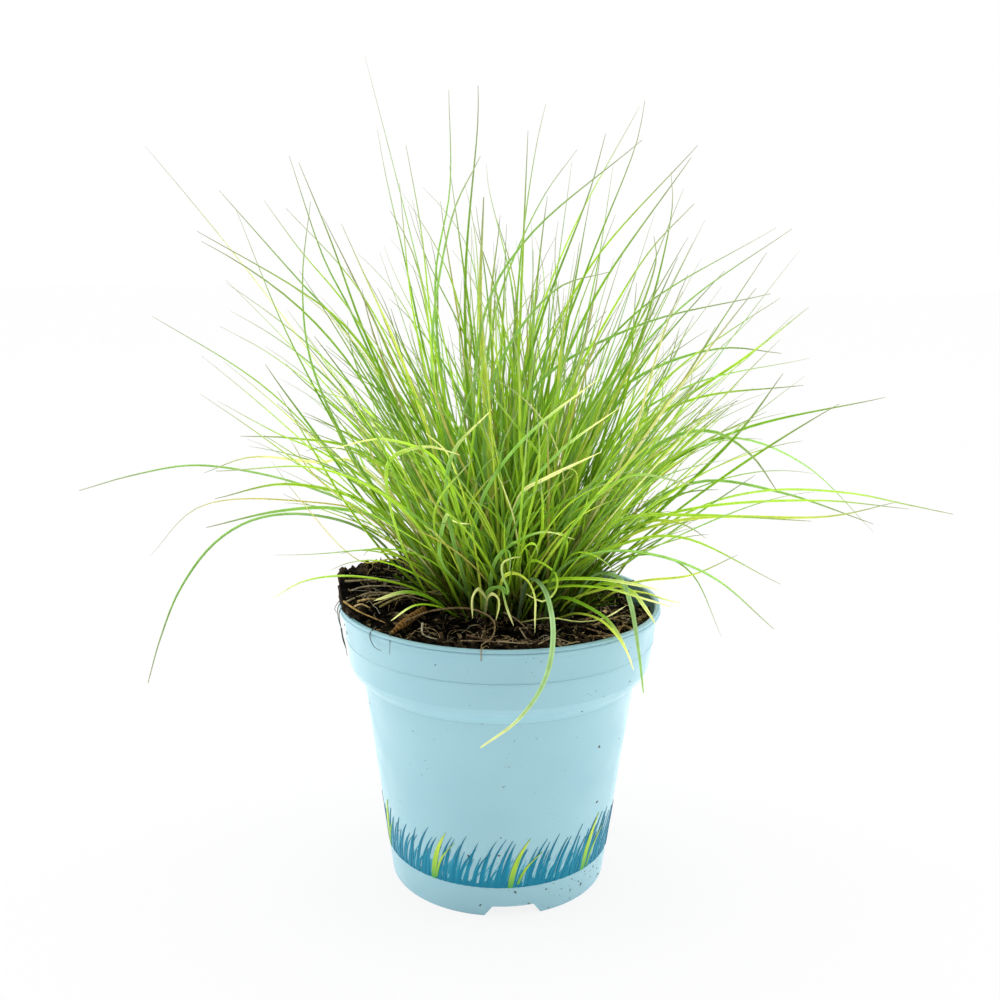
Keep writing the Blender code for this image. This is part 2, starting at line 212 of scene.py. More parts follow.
def make_world():
    """A white light tent, dimmer on the camera's side, against a white background."""
    world = bpy.data.worlds.new("light_tent")
    bpy.context.scene.world = world
    world.use_nodes = True
    tree = world.node_tree
    tree.nodes.clear()
    place = tree.nodes.new("ShaderNodeTexCoord")
    split = tree.nodes.new("ShaderNodeSeparateXYZ")
    tree.links.new(place.outputs["Generated"], split.inputs["Vector"])
    depth = tree.nodes.new("ShaderNodeMapRange")
    depth.interpolation_type = "SMOOTHSTEP"
    for key, value in (("From Min", -0.95), ("From Max", 0.1), ("To Min", 0.52), ("To Max", 1.36)):
        depth.inputs[key].default_value = value
    tree.links.new(split.outputs["Y"], depth.inputs["Value"])
    light = tree.nodes.new("ShaderNodeBackground")
    light.inputs["Color"].default_value = (1.0, 1.0, 1.0, 1.0)
    tree.links.new(depth.outputs["Result"], light.inputs["Strength"])
    backdrop = tree.nodes.new("ShaderNodeBackground")
    backdrop.inputs["Color"].default_value = (1.0, 1.0, 1.0, 1.0)
    backdrop.inputs["Strength"].default_value = 1.0
    ray = tree.nodes.new("ShaderNodeLightPath")
    choose = tree.nodes.new("ShaderNodeMixShader")
    out = tree.nodes.new("ShaderNodeOutputWorld")
    tree.links.new(ray.outputs["Is Camera Ray"], choose.inputs["Fac"])
    tree.links.new(light.outputs["Background"], choose.inputs[1])
    tree.links.new(backdrop.outputs["Background"], choose.inputs[2])
    tree.links.new(choose.outputs["Shader"], out.inputs["Surface"])


def make_lamp(name, place, aim, size, power):
    data = bpy.data.lights.new(name, "AREA")
    data.shape = "RECTANGLE"
    data.size, data.size_y = size
    data.energy = power
    lamp = bpy.data.objects.new(name, data)
    lamp.location = place
    lamp.rotation_euler = (Vector(aim) - Vector(place)).to_track_quat("-Z", "Y").to_euler()
    bpy.context.scene.collection.objects.link(lamp)


def table_material():
    """White that lights the pot from below and is seen as white as the background."""
    look = Nodes("floor", roughness=0.9, specular=0.0)
    look.shader.inputs["Emission Color"].default_value = (1.0, 1.0, 1.0, 1.0)
    away = look.add("ShaderNodeVectorMath", operation="LENGTH")
    look.link(look.position(), away.inputs[0])
    seen = look.add("ShaderNodeLightPath").outputs["Is Camera Ray"]
    darker = look.range(away.outputs["Value"], 0.2, 1.7, SEEN_WHITE_NEAR - TABLE_WHITE,
                        SEEN_WHITE_FAR - TABLE_WHITE)
    shade = look.add("ShaderNodeMath", operation="MULTIPLY_ADD")
    look.link(seen, shade.inputs[0])
    look.link(darker, shade.inputs[1])
    shade.inputs[2].default_value = TABLE_WHITE
    look.link(shade.outputs[0], look.shader.inputs["Base Color"])
    glow = look.range(seen, 0.0, 1.0, TABLE_GLOW, SEEN_GLOW)
    look.link(glow, look.shader.inputs["Emission Strength"])
    return look.material


def make_stage():
    half = TABLE_HALF_WIDTH
    corners = [(-half, -half, 0.0), (half, -half, 0.0), (half, half, 0.0), (-half, half, 0.0)]
    new_object("floor", corners, [(0, 1, 2, 3)], table_material(), smooth=False)
    make_world()
    for name, place, aim, size, power in SOFTBOXES:
        make_lamp(name, place, aim, size, power)
    bpy.context.scene.view_settings.view_transform = "Standard"


# --- Pot ------------------------------------------------------------------------

POT_SEGMENTS = 288
LIP_HEIGHT = 2.5 * MM
LIP_GROOVE = POT_HEIGHT - 1.1 * MM
COLLAR_TOP = (58.6 * MM, POT_HEIGHT - LIP_HEIGHT)
COLLAR_STEP = (57.6 * MM, 94.4 * MM)
COLLAR_FOOT = (56.4 * MM, 85.0 * MM)
SHOULDER_KNEE = (55.2 * MM, 82.4 * MM)
SHOULDER_FOOT = (51.1 * MM, 78.4 * MM)
BASE_RADIUS = 41.1 * MM
WALL = 1.0 * MM
FLOOR_LEVEL = 6.0 * MM
FLOOR_THICKNESS = 1.2 * MM
NOTCHES = 3
NOTCH_START = math.radians(7.0)
NOTCH_TOP_WIDTH = 15.0 * MM
NOTCH_FOOT_WIDTH = 22.0 * MM
NOTCH_HEIGHT = 4.0 * MM
DRAIN_HOLES = 6
DRAIN_HOLE_RADIUS = 3.5 * MM
DRAIN_CIRCLE_RADIUS = 26.0 * MM
DRAIN_START = math.radians(37.0)


def body_radius(height):
    """Outer radius of the tapered body below the shoulder."""
    return BASE_RADIUS + (SHOULDER_FOOT[0] - BASE_RADIUS) * height / SHOULDER_FOOT[1]


def rounded(corners, radius, steps=4):
    """An open outline with its inner corners rounded by short arcs."""
    points = [corners[0]]
    for before, corner, after in zip(corners, corners[1:], corners[2:]):
        before, corner, after = (np.array(p) for p in (before, corner, after))
        cut = min(radius, 0.45 * np.linalg.norm(before - corner),
                  0.45 * np.linalg.norm(after - corner))
        start = corner + unit(before - corner) * cut
        end = corner + unit(after - corner) * cut
        for k in range(steps + 1):
            t = k / steps
            points.append(tuple((1 - t) ** 2 * start + 2 * t * (1 - t) * corner + t * t * end))
    points.append(corners[-1])
    return points


def pot_outline():
    """Radius and height from the axis under the floor, round the wall, to the axis above it."""
    lip_foot = POT_HEIGHT - LIP_HEIGHT
    step = 0.35 * MM
    outer = [
        (0.0, FLOOR_LEVEL),
        (BASE_RADIUS - WALL + 0.6 * MM, FLOOR_LEVEL),
        (BASE_RADIUS - 1.4 * MM, 0.0),
        (BASE_RADIUS, 0.0),
        (SHOULDER_FOOT[0], SHOULDER_FOOT[1] - 0.4 * MM),
        (SHOULDER_FOOT[0] + 0.45 * MM, SHOULDER_FOOT[1]),
        (SHOULDER_FOOT[0] + 0.9 * MM, SHOULDER_FOOT[1] + 0.9 * MM),
        SHOULDER_KNEE,
        COLLAR_FOOT,
        (COLLAR_STEP[0] - 0.1 * MM, COLLAR_STEP[1] - step),
        (COLLAR_STEP[0] + step, COLLAR_STEP[1]),
        (COLLAR_STEP[0] + 0.1 * MM, COLLAR_STEP[1] + step),
        (COLLAR_TOP[0], lip_foot),
        (RIM_RADIUS - 0.2 * MM, lip_foot),
        (RIM_RADIUS, lip_foot + 0.25 * MM),
        (RIM_RADIUS, LIP_GROOVE - 0.3 * MM),
        (RIM_RADIUS - 0.45 * MM, LIP_GROOVE),
        (RIM_RADIUS - 0.15 * MM, LIP_GROOVE + 0.25 * MM),
        (RIM_RADIUS - 0.15 * MM, POT_HEIGHT - 0.4 * MM),
        (RIM_RADIUS - 0.5 * MM, POT_HEIGHT),
        (COLLAR_TOP[0] - WALL + 0.5 * MM, POT_HEIGHT),
        (COLLAR_TOP[0] - WALL, POT_HEIGHT - 0.8 * MM),
        (COLLAR_STEP[0] - WALL, COLLAR_STEP[1]),
        (COLLAR_FOOT[0] - WALL, COLLAR_FOOT[1]),
        (SHOULDER_KNEE[0] - WALL, SHOULDER_KNEE[1]),
        (SHOULDER_FOOT[0] - WALL, SHOULDER_FOOT[1]),
        (BASE_RADIUS - WALL + 0.7 * MM, FLOOR_LEVEL + FLOOR_THICKNESS),
        (0.0, FLOOR_LEVEL + FLOOR_THICKNESS),
    ]
    return rounded(outer, 0.2 * MM)


def turned(outline, segments):
    """Vertices and faces of an outline turned about Z; its ends lie on the axis."""
    vertices = []
    for radius, height in outline[1:-1]:
        for k in range(segments):
            angle = 2 * math.pi * k / segments
            vertices.append((radius * math.sin(angle), -radius * math.cos(angle), height))
    faces = []
    rows = len(outline) - 2
    for row in range(rows - 1):
        for k in range(segments):
            n = (k + 1) % segments
            faces.append((row * segments + k, row * segments + n,
                          (row + 1) * segments + n, (row + 1) * segments + k))
    for end, row, flip in ((0, 0, True), (-1, rows - 1, False)):
        vertices.append((0.0, 0.0, outline[end][1]))
        apex = len(vertices) - 1
        for k in range(segments):
            a, b = row * segments + k, row * segments + (k + 1) % segments
            faces.append((b, a, apex) if flip else (a, b, apex))
    return vertices, faces


def prism(name, rings, material):
    """A closed cutter between two rings of points."""
    count = len(rings[0])
    vertices = list(rings[0]) + list(rings[1])
    faces = [tuple(range(count))[::-1], tuple(range(count, 2 * count))]
    faces += [(k, (k + 1) % count, count + (k + 1) % count, count + k) for k in range(count)]
    cutter = new_object(name, vertices, faces, material, smooth=False)
    shape = bmesh.new()
    shape.from_mesh(cutter.data)
    bmesh.ops.recalc_face_normals(shape, faces=shape.faces)
    shape.to_mesh(cutter.data)
    shape.free()
    return cutter


def pot_cutters(material):
    cutters = []
    for k in range(NOTCHES):
        angle = NOTCH_START + 2 * math.pi * k / NOTCHES
        out = Vector((math.sin(angle), -math.cos(angle), 0.0))
        side = Vector((-out.y, out.x, 0.0))
        corners = [(-NOTCH_FOOT_WIDTH / 2, -1.0 * MM), (NOTCH_FOOT_WIDTH / 2, -1.0 * MM),
                   (NOTCH_TOP_WIDTH / 2, NOTCH_HEIGHT), (-NOTCH_TOP_WIDTH / 2, NOTCH_HEIGHT)]
        rings = [[out * r + side * s + Vector((0.0, 0.0, z)) for s, z in corners]
                 for r in (BASE_RADIUS - 6 * MM, BASE_RADIUS + 6 * MM)]
        cutters.append(prism(f"notch_cutter_{k}", rings, material))
    for k in range(DRAIN_HOLES):
        angle = DRAIN_START + 2 * math.pi * k / DRAIN_HOLES
        centre = Vector((math.sin(angle), -math.cos(angle), 0.0)) * DRAIN_CIRCLE_RADIUS
        circle = [Vector((math.cos(a), math.sin(a), 0.0)) * DRAIN_HOLE_RADIUS
                  for a in (2 * math.pi * i / 32 + 0.05 for i in range(32))]
        rings = [[centre + p + Vector((0.0, 0.0, z)) for p in circle]
                 for z in (FLOOR_LEVEL - MM, FLOOR_LEVEL + FLOOR_THICKNESS + MM)]
        cutters.append(prism(f"drain_cutter_{k}", rings, material))
    return cutters


def apply_modifiers(piece):
    """Replace a piece's mesh with its evaluated one."""
    graph = bpy.context.evaluated_depsgraph_get()
    result = bpy.data.meshes.new_from_object(piece.evaluated_get(graph))
    piece.modifiers.clear()
    piece.data = result


PLASTIC_LOW = (0.206, 0.376, 0.432)
PLASTIC_HIGH = (0.224, 0.404, 0.458)
DUST = (0.12, 0.12, 0.09)
CREASE_PAINTED_SHADE = (0.10, 0.22, 0.27)

# Height, half width and strength of the fine lines of painted shade along the pot's ridges
CREASES = [(POT_HEIGHT - LIP_HEIGHT - 0.1 * MM, 0.25 * MM, 0.36),
           (LIP_GROOVE, 0.18 * MM, 0.3),
           (COLLAR_STEP[1] - 0.35 * MM, 0.18 * MM, 0.32),
           (SHOULDER_FOOT[1] - 0.45 * MM, 0.2 * MM, 0.35)]


def plastic_material():
    """Light blue polypropylene: faint mottling, dust specks and painted shade in the creases."""
    look = Nodes("pot_plastic", roughness=0.4, specular=0.45)
    place = look.position()
    cloud = look.noise(place, 28.0, detail=3.0)
    base = look.mix(look.range(cloud, 0.3, 0.7, 0.0, 1.0), PLASTIC_LOW, PLASTIC_HIGH)
    specks = look.noise(place, 620.0, detail=1.0)
    patch = look.noise(place, 55.0, detail=2.0)
    dust = look.add("ShaderNodeMath", operation="MULTIPLY")
    look.link(look.range(specks, 0.72, 0.78, 0.0, 1.0), dust.inputs[0])
    look.link(look.range(patch, 0.5, 0.65, 0.0, 0.75), dust.inputs[1])
    base = look.mix(dust.outputs[0], base, DUST)
    split = look.add("ShaderNodeSeparateXYZ")
    look.link(place, split.inputs["Vector"])
    # Painted shade: a darker line at the height of each crease
    for crease, half_width, share in CREASES:
        line = look.add("ShaderNodeMath", operation="COMPARE")
        look.link(split.outputs["Z"], line.inputs[0])
        line.inputs[1].default_value = crease
        line.inputs[2].default_value = half_width
        base = look.mix(look.range(line.outputs[0], 0.0, 1.0, 0.0, share), base, CREASE_PAINTED_SHADE)
    look.colour(base)
    look.roughness(look.range(look.noise(place, 90.0, detail=4.0), 0.3, 0.7, 0.34, 0.5))
    look.bump(look.noise(place, 260.0, detail=3.0), 0.03 * MM, 0.35)
    return look.material


def make_pot():
    finish = plastic_material()
    pot = new_object("pot_shell", *turned(pot_outline(), POT_SEGMENTS), finish)
    cutters = pot_cutters(finish)
    for cutter in cutters:
        cut = pot.modifiers.new(cutter.name, "BOOLEAN")
        cut.operation = "DIFFERENCE"
        cut.object = cutter
    apply_modifiers(pot)
    for cutter in cutters:
        bpy.data.objects.remove(cutter, do_unlink=True)
    pot.data.shade_smooth()
    pot.data.set_sharp_from_angle(angle=math.radians(38.0))
    keep(pot, "pot_plastic", "pot")


# --- Printed band of grass blades ------------------------------------------------

PRINT_FOOT = 12.0 * MM
PRINT_TOP = 31.0 * MM
PRINT_LAYER = 0.05 * MM
PRINT_OVERLAP = 0.01 * MM
PRINT_BLADE_STEPS = 8
PRINT_GROUND_STEPS = 180
PRINT_GROUND_TOP = 14.2


def on_body(angle, height, lift):
    radius = body_radius(height) + lift
    return (radius * math.sin(angle), -radius * math.cos(angle), height)


def plate(vertices, faces, left_edge, right_edge, lift):
    """A thin closed plate on the pot between two edges of (angle, height) points."""
    start = len(vertices)
    count = len(left_edge)
    for depth in (-0.1 * MM, lift):
        for edge in (left_edge, right_edge):
            vertices.extend(on_body(angle, height, depth) for angle, height in edge)
    inner_left, inner_right, outer_left, outer_right = (start + k * count for k in range(4))
    for k in range(count - 1):
        faces.append((outer_left + k, outer_right + k, outer_right + k + 1, outer_left + k + 1))
        faces.append((inner_right + k, inner_left + k, inner_left + k + 1, inner_right + k + 1))
        faces.append((inner_left + k, outer_left + k, outer_left + k + 1, inner_left + k + 1))
        faces.append((outer_right + k, inner_right + k, inner_right + k + 1, outer_right + k + 1))
    faces.append((inner_left, inner_right, outer_right, outer_left))
    last = count - 1
    faces.append((inner_right + last, inner_left + last, outer_left + last, outer_right + last))


def print_blade(vertices, faces, angle, foot, top, width, lean, bow, lift):
    """One printed blade, leaning and bowing to the right, pointed at its top."""
    left = []
    right = []
    for k in range(PRINT_BLADE_STEPS + 1):
        t = k / PRINT_BLADE_STEPS
        z = foot + (top - foot) * t
        middle = angle + (lean * t + bow * t ** 2.5) / body_radius(z)
        half = 0.5 * width * (0.7 + 1.2 * t) * (1.0 - t) ** 0.9 / body_radius(z)
        half = max(half, 0.03 * MM / body_radius(z))
        left.append((middle - half, z))
        right.append((middle + half, z))
    plate(vertices, faces, left, right, lift)


def print_material(name, foot, middle, top):
    """Ink that changes from the foot of the band to the blades' points."""
    look = Nodes(name, roughness=0.45, specular=0.12)
    place = look.position()
    split = look.add("ShaderNodeSeparateXYZ")
    look.link(place, split.inputs["Vector"])
    rise = look.range(split.outputs["Z"], PRINT_FOOT, PRINT_TOP, 0.0, 1.0)
    shade = look.ramp(rise, (0.0, foot), (0.45, middle), (1.0, top))
    streak = look.noise(place, 300.0, detail=2.0, stretch=(1.0, 1.0, 0.15))
    look.colour(look.mix(look.range(streak, 0.4, 0.65, 0.0, 0.4), shade, foot))
    return look.material


TEAL = (0.002, 0.150, 0.235)
SOFT_TEAL = (0.045, 0.275, 0.375)
BARE = (0.214, 0.390, 0.444)
LIME_INKS = ((0.05, 0.26, 0.06), (0.34, 0.50, 0.035), (0.46, 0.56, 0.07))

# Layers of the print from the wall out: inks from foot to top, blades round the pot, lowest
# and highest foot and top in mm, mean width and lean in mm, the first blade's angle in
# degrees and how far, in shares of their spacing, the blades stray from even places
PRINT_LAYERS = {
    "print_shade": dict(inks=(TEAL, SOFT_TEAL, (0.13, 0.38, 0.46)), count=126, feet=(12.0, 12.0),
                        tops=(17.0, 25.0), width=1.9, leans=(2.0, 5.5), first=0.0, stray=0.35),
    "print_gaps": dict(inks=((0.10, 0.34, 0.42), (0.22, 0.45, 0.52), BARE), count=98,
                       feet=(12.2, 16.0), tops=(19.0, 25.0), width=0.9, leans=(3.0, 6.0), first=1.2,
                       stray=0.4),
    "print_blades": dict(inks=(TEAL, TEAL, (0.003, 0.118, 0.185)), count=104, feet=(12.0, 12.0),
                         tops=(26.0, 33.0), width=1.6, leans=(4.0, 8.0), first=0.6, stray=0.3),
    "print_points": dict(inks=(TEAL, (0.010, 0.20, 0.30), (0.012, 0.17, 0.26)), count=96,
                         feet=(12.0, 12.0), tops=(20.5, 29.0), width=1.25, leans=(2.0, 6.0),
                         first=2.0, stray=0.45),
    "print_lime": dict(inks=LIME_INKS, count=9, feet=(12.0, 12.0), tops=(31.5, 34.5), width=2.9,
                       leans=(5.5, 8.0), first=6.5, stray=0.05),
    "print_lime_low": dict(inks=LIME_INKS, count=9, feet=(12.5, 13.5), tops=(25.0, 29.0), width=1.4,
                           leans=(7.0, 9.5), first=8.5, stray=0.05),
}


def print_ground(vertices, faces):
    """The strip of solid ink, uneven at its top, that the blades stand on."""
    for k in range(PRINT_GROUND_STEPS):
        top = (PRINT_GROUND_TOP + 0.8 * math.sin(k * 1.9)) * MM
        edge = [(2 * math.pi * (k + side) / PRINT_GROUND_STEPS, z) for side in (0, 1)
                for z in (PRINT_FOOT, top)]
        plate(vertices, faces, edge[:2], edge[2:], 0.5 * PRINT_LAYER)


def make_print():
    chance = random.Random(5)
    for layer, (name, row) in enumerate(PRINT_LAYERS.items()):
        vertices, faces = [], []
        for k in range(row["count"]):
            place = k + chance.uniform(-row["stray"], row["stray"])
            angle = math.radians(row["first"]) + 2 * math.pi * place / row["count"]
            foot = chance.uniform(*row["feet"]) * MM
            top = chance.uniform(*row["tops"]) * MM
            width = row["width"] * MM * chance.uniform(0.75, 1.25)
            lean = chance.uniform(*row["leans"]) * 0.4 * MM
            bow = chance.uniform(*row["leans"]) * 0.6 * MM
            lift = (layer + 1) * PRINT_LAYER + k % 4 * PRINT_OVERLAP
            print_blade(vertices, faces, angle, foot, top, width, lean, bow, lift)
        if layer == 0:
            print_ground(vertices, faces)
        ink = print_material(name, *row["inks"])
        keep(new_object(name, vertices, faces, ink, smooth=False), "pot_plastic")


# --- Grains and strands: meshes of many small parts, each with its tint ------------

def add_tints(mesh, tints):
    colours = mesh.color_attributes.new("tint", "FLOAT_COLOR", "POINT")
    flat = np.ones((len(tints), 4), np.float32)
    flat[:, :3] = np.array(tints)
    colours.data.foreach_set("color", flat.ravel())


def spline(points, count):
    """Even steps along a centripetal Catmull-Rom curve through the points."""
    points = [np.asarray(p, float) for p in points]
    ends = [2 * points[0] - points[1]] + points + [2 * points[-1] - points[-2]]
    knots = [0.0]
    for a, b in zip(ends, ends[1:]):
        knots.append(knots[-1] + max(np.linalg.norm(b - a), 1e-9) ** 0.5)
    dense = []
    for i in range(1, len(ends) - 2):
        p0, p1, p2, p3 = ends[i - 1:i + 3]
        t0, t1, t2, t3 = knots[i - 1:i + 3]
        for t in np.linspace(t1, t2, 14, endpoint=False):
            a1 = (t1 - t) / (t1 - t0) * p0 + (t - t0) / (t1 - t0) * p1
            a2 = (t2 - t) / (t2 - t1) * p1 + (t - t1) / (t2 - t1) * p2
            a3 = (t3 - t) / (t3 - t2) * p2 + (t - t2) / (t3 - t2) * p3
            b1 = (t2 - t) / (t2 - t0) * a1 + (t - t0) / (t2 - t0) * a2
            b2 = (t3 - t) / (t3 - t1) * a2 + (t - t1) / (t3 - t1) * a3
            dense.append((t2 - t) / (t2 - t1) * b1 + (t - t1) / (t2 - t1) * b2)
    dense.append(points[-1])
    dense = np.array(dense)
    along = np.concatenate(([0.0], np.cumsum(np.linalg.norm(np.diff(dense, axis=0), axis=1))))
    wanted = np.linspace(0.0, along[-1], count)
    return np.stack([np.interp(wanted, along, dense[:, k]) for k in range(3)], axis=1)


# Sections as (across, over) shares of half the width. A leaf is folded: a keel below
# and a groove between two raised halves above.
LEAF_SECTION = np.array([(1.0, 0.16), (0.55, 0.42), (0.0, 0.12), (-0.55, 0.42),
                         (-1.0, 0.16), (-0.62, -0.34), (0.0, -0.60), (0.62, -0.34)])
# Painted highlight and shade round a leaf's section: edges and raised halves lighter, groove, keel and
# underside darker
LEAF_PAINTED_SHADING = np.array((1.12, 1.10, 0.86, 1.10, 1.12, 0.88, 0.76, 0.88))
ROUND_SECTION = np.array([(1.0, 0.0), (0.31, 0.95), (-0.81, 0.59), (-0.81, -0.59), (0.31, -0.95)])
FLAT_SECTION = np.array([(1.0, 0.06), (0.2, 0.3), (-1.0, 0.1), (-0.3, -0.25)])


class Strands:
    """Many swept strands gathered in one mesh, with a tint and their own texture strips."""

    def __init__(self, section, side_shading_and_tones=None):
        self.section = section
        self.side_shading_and_tones = np.ones(len(section)) if side_shading_and_tones is None else side_shading_and_tones
        self.vertices = []
        self.faces = []
        self.tints = []
        self.strips = []
        self.count = 0

    def add(self, route, widths, tints, facing, twist=0.0):
        """route (n, 3), half widths (n), tints (n, 3), and the way the groove faces."""
        count = len(route)
        sides = len(self.section)
        ahead = np.gradient(route, axis=0)
        ahead /= np.linalg.norm(ahead, axis=1)[:, None]
        start = len(self.vertices)
        facing = np.asarray(facing, float)
        for k in range(count):
            facing = unit(facing - ahead[k] * facing.dot(ahead[k]))
            angle = twist * k / (count - 1)
            over = facing * math.cos(angle) + np.cross(ahead[k], facing) * math.sin(angle)
            side = np.cross(ahead[k], over)
            ring = (route[k] + self.section[:, :1] * widths[k] * side
                    + self.section[:, 1:] * widths[k] * over)
            self.vertices.extend(ring)
            # Each side's tint times its factor: painted highlight and shade on leaves, random tone on
            # the bark's sides
            self.tints.extend(self.side_shading_and_tones[:, None] * np.asarray(tints[k]))
        for k in range(count - 1):
            a, b = start + k * sides, start + (k + 1) * sides
            for s in range(sides):
                n = (s + 1) % sides
                self.faces.append((a + s, a + n, b + n, b + s))
                self.strips.append((self.count, s, k, count))
        last = start + (count - 1) * sides
        self.faces.append(tuple(start + s for s in range(sides))[::-1])
        self.faces.append(tuple(last + s for s in range(sides)))
        self.strips += [None, None]
        self.count += 1

    def build(self, name, material):
        piece = new_object(name, self.vertices, self.faces, material, sharp_angle=70.0)
        add_tints(piece.data, self.tints)
        layer = piece.data.uv_layers.new(name="OFBake")
        layer.data.foreach_set("uv", np.array(self.texture_places(), np.float32))
        return piece

    def texture_places(self):
        """One column of the texture for each strand; the end caps go under the columns."""
        sides = len(self.section)
        cell = 1.0 / self.count
        places = []
        for strip in self.strips:
            if strip is None:
                for s in range(sides):
                    angle = 2 * math.pi * s / sides
                    places.extend((0.01 + 0.004 * math.cos(angle), 0.012 + 0.008 * math.sin(angle)))
                continue
            strand, side, step, count = strip
            for s, k in ((side, step), (side + 1, step), (side + 1, step + 1), (side, step + 1)):
                places.append((strand + 0.06 + 0.88 * s / sides) * cell)
                places.append(0.03 + 0.95 * k / (count - 1))
        return places


def tinted_material(name, roughness, specular, grain_scale, grain_colour):
    """A finish whose colour is the mesh's own tint, broken up by a fine grain."""
    look = Nodes(name, roughness=roughness, specular=specular)
    tint = look.add("ShaderNodeAttribute", attribute_name="tint").outputs["Color"]
    grain = look.noise(look.position(), grain_scale, detail=3.0)
    look.colour(look.mix(look.range(grain, 0.38, 0.68, 0.0, 1.0), tint, grain_colour, "MULTIPLY"))
    look.roughness(look.range(grain, 0.3, 0.7, roughness - 0.06, roughness + 0.05))
    look.bump(grain, 0.08 * MM, 0.5)
    return look.material


# --- Compost ----------------------------------------------------------------------

COMPOST_LEVEL = 103.8 * MM
COMPOST_LEFT_RISE = 9.5 * MM
COMPOST_RIGHT_DROP = 4.0 * MM
COMPOST_MOUND = 3.5 * MM
CROWN_CENTRE = np.array((4.0, 2.0)) * MM
CROWN_RADII = np.array((29.0, 23.0)) * MM
COMPOST_RADIUS = COLLAR_TOP[0] - WALL - 0.15 * MM
COMPOST_OVERHANG = 2.2 * MM
COMPOST_LUMP = np.array((-57.0, -3.0)) * MM
COMPOST_DARK = np.array((0.0016, 0.0011, 0.0007))
COMPOST_BROWN = np.array((0.080, 0.056, 0.030))
COMPOST_TAN = np.array((0.34, 0.25, 0.13))
PALE_ROOT = np.array((0.36, 0.34, 0.27))
COMPOST_RINGS = 96
COMPOST_SPOKES = 320
CRUMBS = 1400
EDGE_CRUMBS = 330
CHIPS = 2300
FIBRES = 230
FIBRE_STEPS = 8
LITTER_STEPS = 22
SPECKS = 170
FOOT_SPECKS = 60
RIM_SPECKS = 35

# Shares of the way from the compost's edge down to the rim, for the rings of its side
SIDE_DEPTHS = (0.1, 0.22, 0.35, 0.5, 0.65, 0.82, 1.0)
# Height and radius of the plain rings below, inside the pot
INSIDE_RINGS = ((POT_HEIGHT + 0.4 * MM, COMPOST_RADIUS),
                (POT_HEIGHT - 3.0 * MM, COMPOST_RADIUS),
                (94.0 * MM, COLLAR_STEP[0] - WALL - 0.2 * MM))


def compost_top(x, y):
    left = smooth_step((-x - 14.0 * MM) / (40.0 * MM)) * smooth_step((y + 46.0 * MM) / (38.0 * MM))
    right = smooth_step((x - 14.0 * MM) / (36.0 * MM))
    spread = math.hypot(x - CROWN_CENTRE[0], y - CROWN_CENTRE[1]) / (26.0 * MM)
    mound = COMPOST_MOUND * math.exp(-spread ** 2)
    return COMPOST_LEVEL + COMPOST_LEFT_RISE * left - COMPOST_RIGHT_DROP * right + mound


def edge_lump(x, y):
    """The highest lump of the raised left edge."""
    away = math.hypot(x - COMPOST_LUMP[0], y - COMPOST_LUMP[1]) / (9.0 * MM)
    return 3.0 * MM * math.exp(-away ** 4)


def relief(x, y):
    """Lumps, hollows and grit of the compost, about the smooth surface."""
    place = Vector((x, y, 0.0))
    lumps = noise.fractal(place * 95.0, 0.8, 2.1, 3) * 2.4 * MM
    cells = noise.voronoi(place * 330.0)[0]
    clods = (min(cells[1] - cells[0], 0.5) - 0.2) * 3.2 * MM
    grit = noise.fractal(place * 700.0 + Vector((7.0, 3.0, 1.0)), 0.7, 2.0, 2) * 1.0 * MM
    return lumps + clods + grit + edge_lump(x, y)


def rough_top(x, y):
    return compost_top(x, y) + relief(x, y)


def compost_shade(brown):
    return COMPOST_DARK * (1.0 - brown) + COMPOST_BROWN * brown


def surface_ring(ring):
    """Points and tints of one ring of the compost's top; high lumps lean out past the rim, and low
    places are darker as painted shade in the hollows.
    """
    points, tints = [], []
    share = ring / COMPOST_RINGS
    for k in range(COMPOST_SPOKES):
        angle = 2 * math.pi * k / COMPOST_SPOKES
        x = COMPOST_RADIUS * share * math.sin(angle)
        y = -COMPOST_RADIUS * share * math.cos(angle)
        height = relief(x, y)
        z = compost_top(x, y) + height
        above_rim = smooth_step((z - POT_HEIGHT - 1.0 * MM) / (3.0 * MM))
        spread = 1.0 + above_rim * share ** 6 * COMPOST_OVERHANG / COMPOST_RADIUS
        points.append((x * spread, y * spread, z))
        # Painted shade: the lower the relief, the nearer black the tint; the lumps are lighter brown
        brown = smooth_step((height - edge_lump(x, y) - 0.3 * MM) / (2.8 * MM)) * 0.9
        tints.append(compost_shade(brown))
    return points, tints


def side_ring(edge, depth):
    """Points and tints of one ring below the edge, craggy where the compost stands proud."""
    points, tints = [], []
    for k, (x, y, z) in enumerate(edge):
        angle = 2 * math.pi * k / COMPOST_SPOKES
        height = z + (min(z, POT_HEIGHT + 0.4 * MM) - z) * depth
        proud = smooth_step((z - POT_HEIGHT - 1.0 * MM) / (4.0 * MM)) * (1.2 - depth)
        crag = noise.fractal(Vector((x, y, height)) * 380.0, 0.8, 2.0, 3)
        radius = math.hypot(x, y) + min(crag * 2.0 * MM, 1.2 * MM) * proud
        points.append((radius * math.sin(angle), -radius * math.cos(angle), height))
        tints.append(compost_shade(smooth_step(0.35 + crag) * 0.9))
    return points, tints


def inside_ring(edge, height, radius):
    points = []
    for k, (_, _, z) in enumerate(edge):
        angle = 2 * math.pi * k / COMPOST_SPOKES
        points.append((radius * math.sin(angle), -radius * math.cos(angle), min(height, z)))
    return points, [COMPOST_DARK] * COMPOST_SPOKES


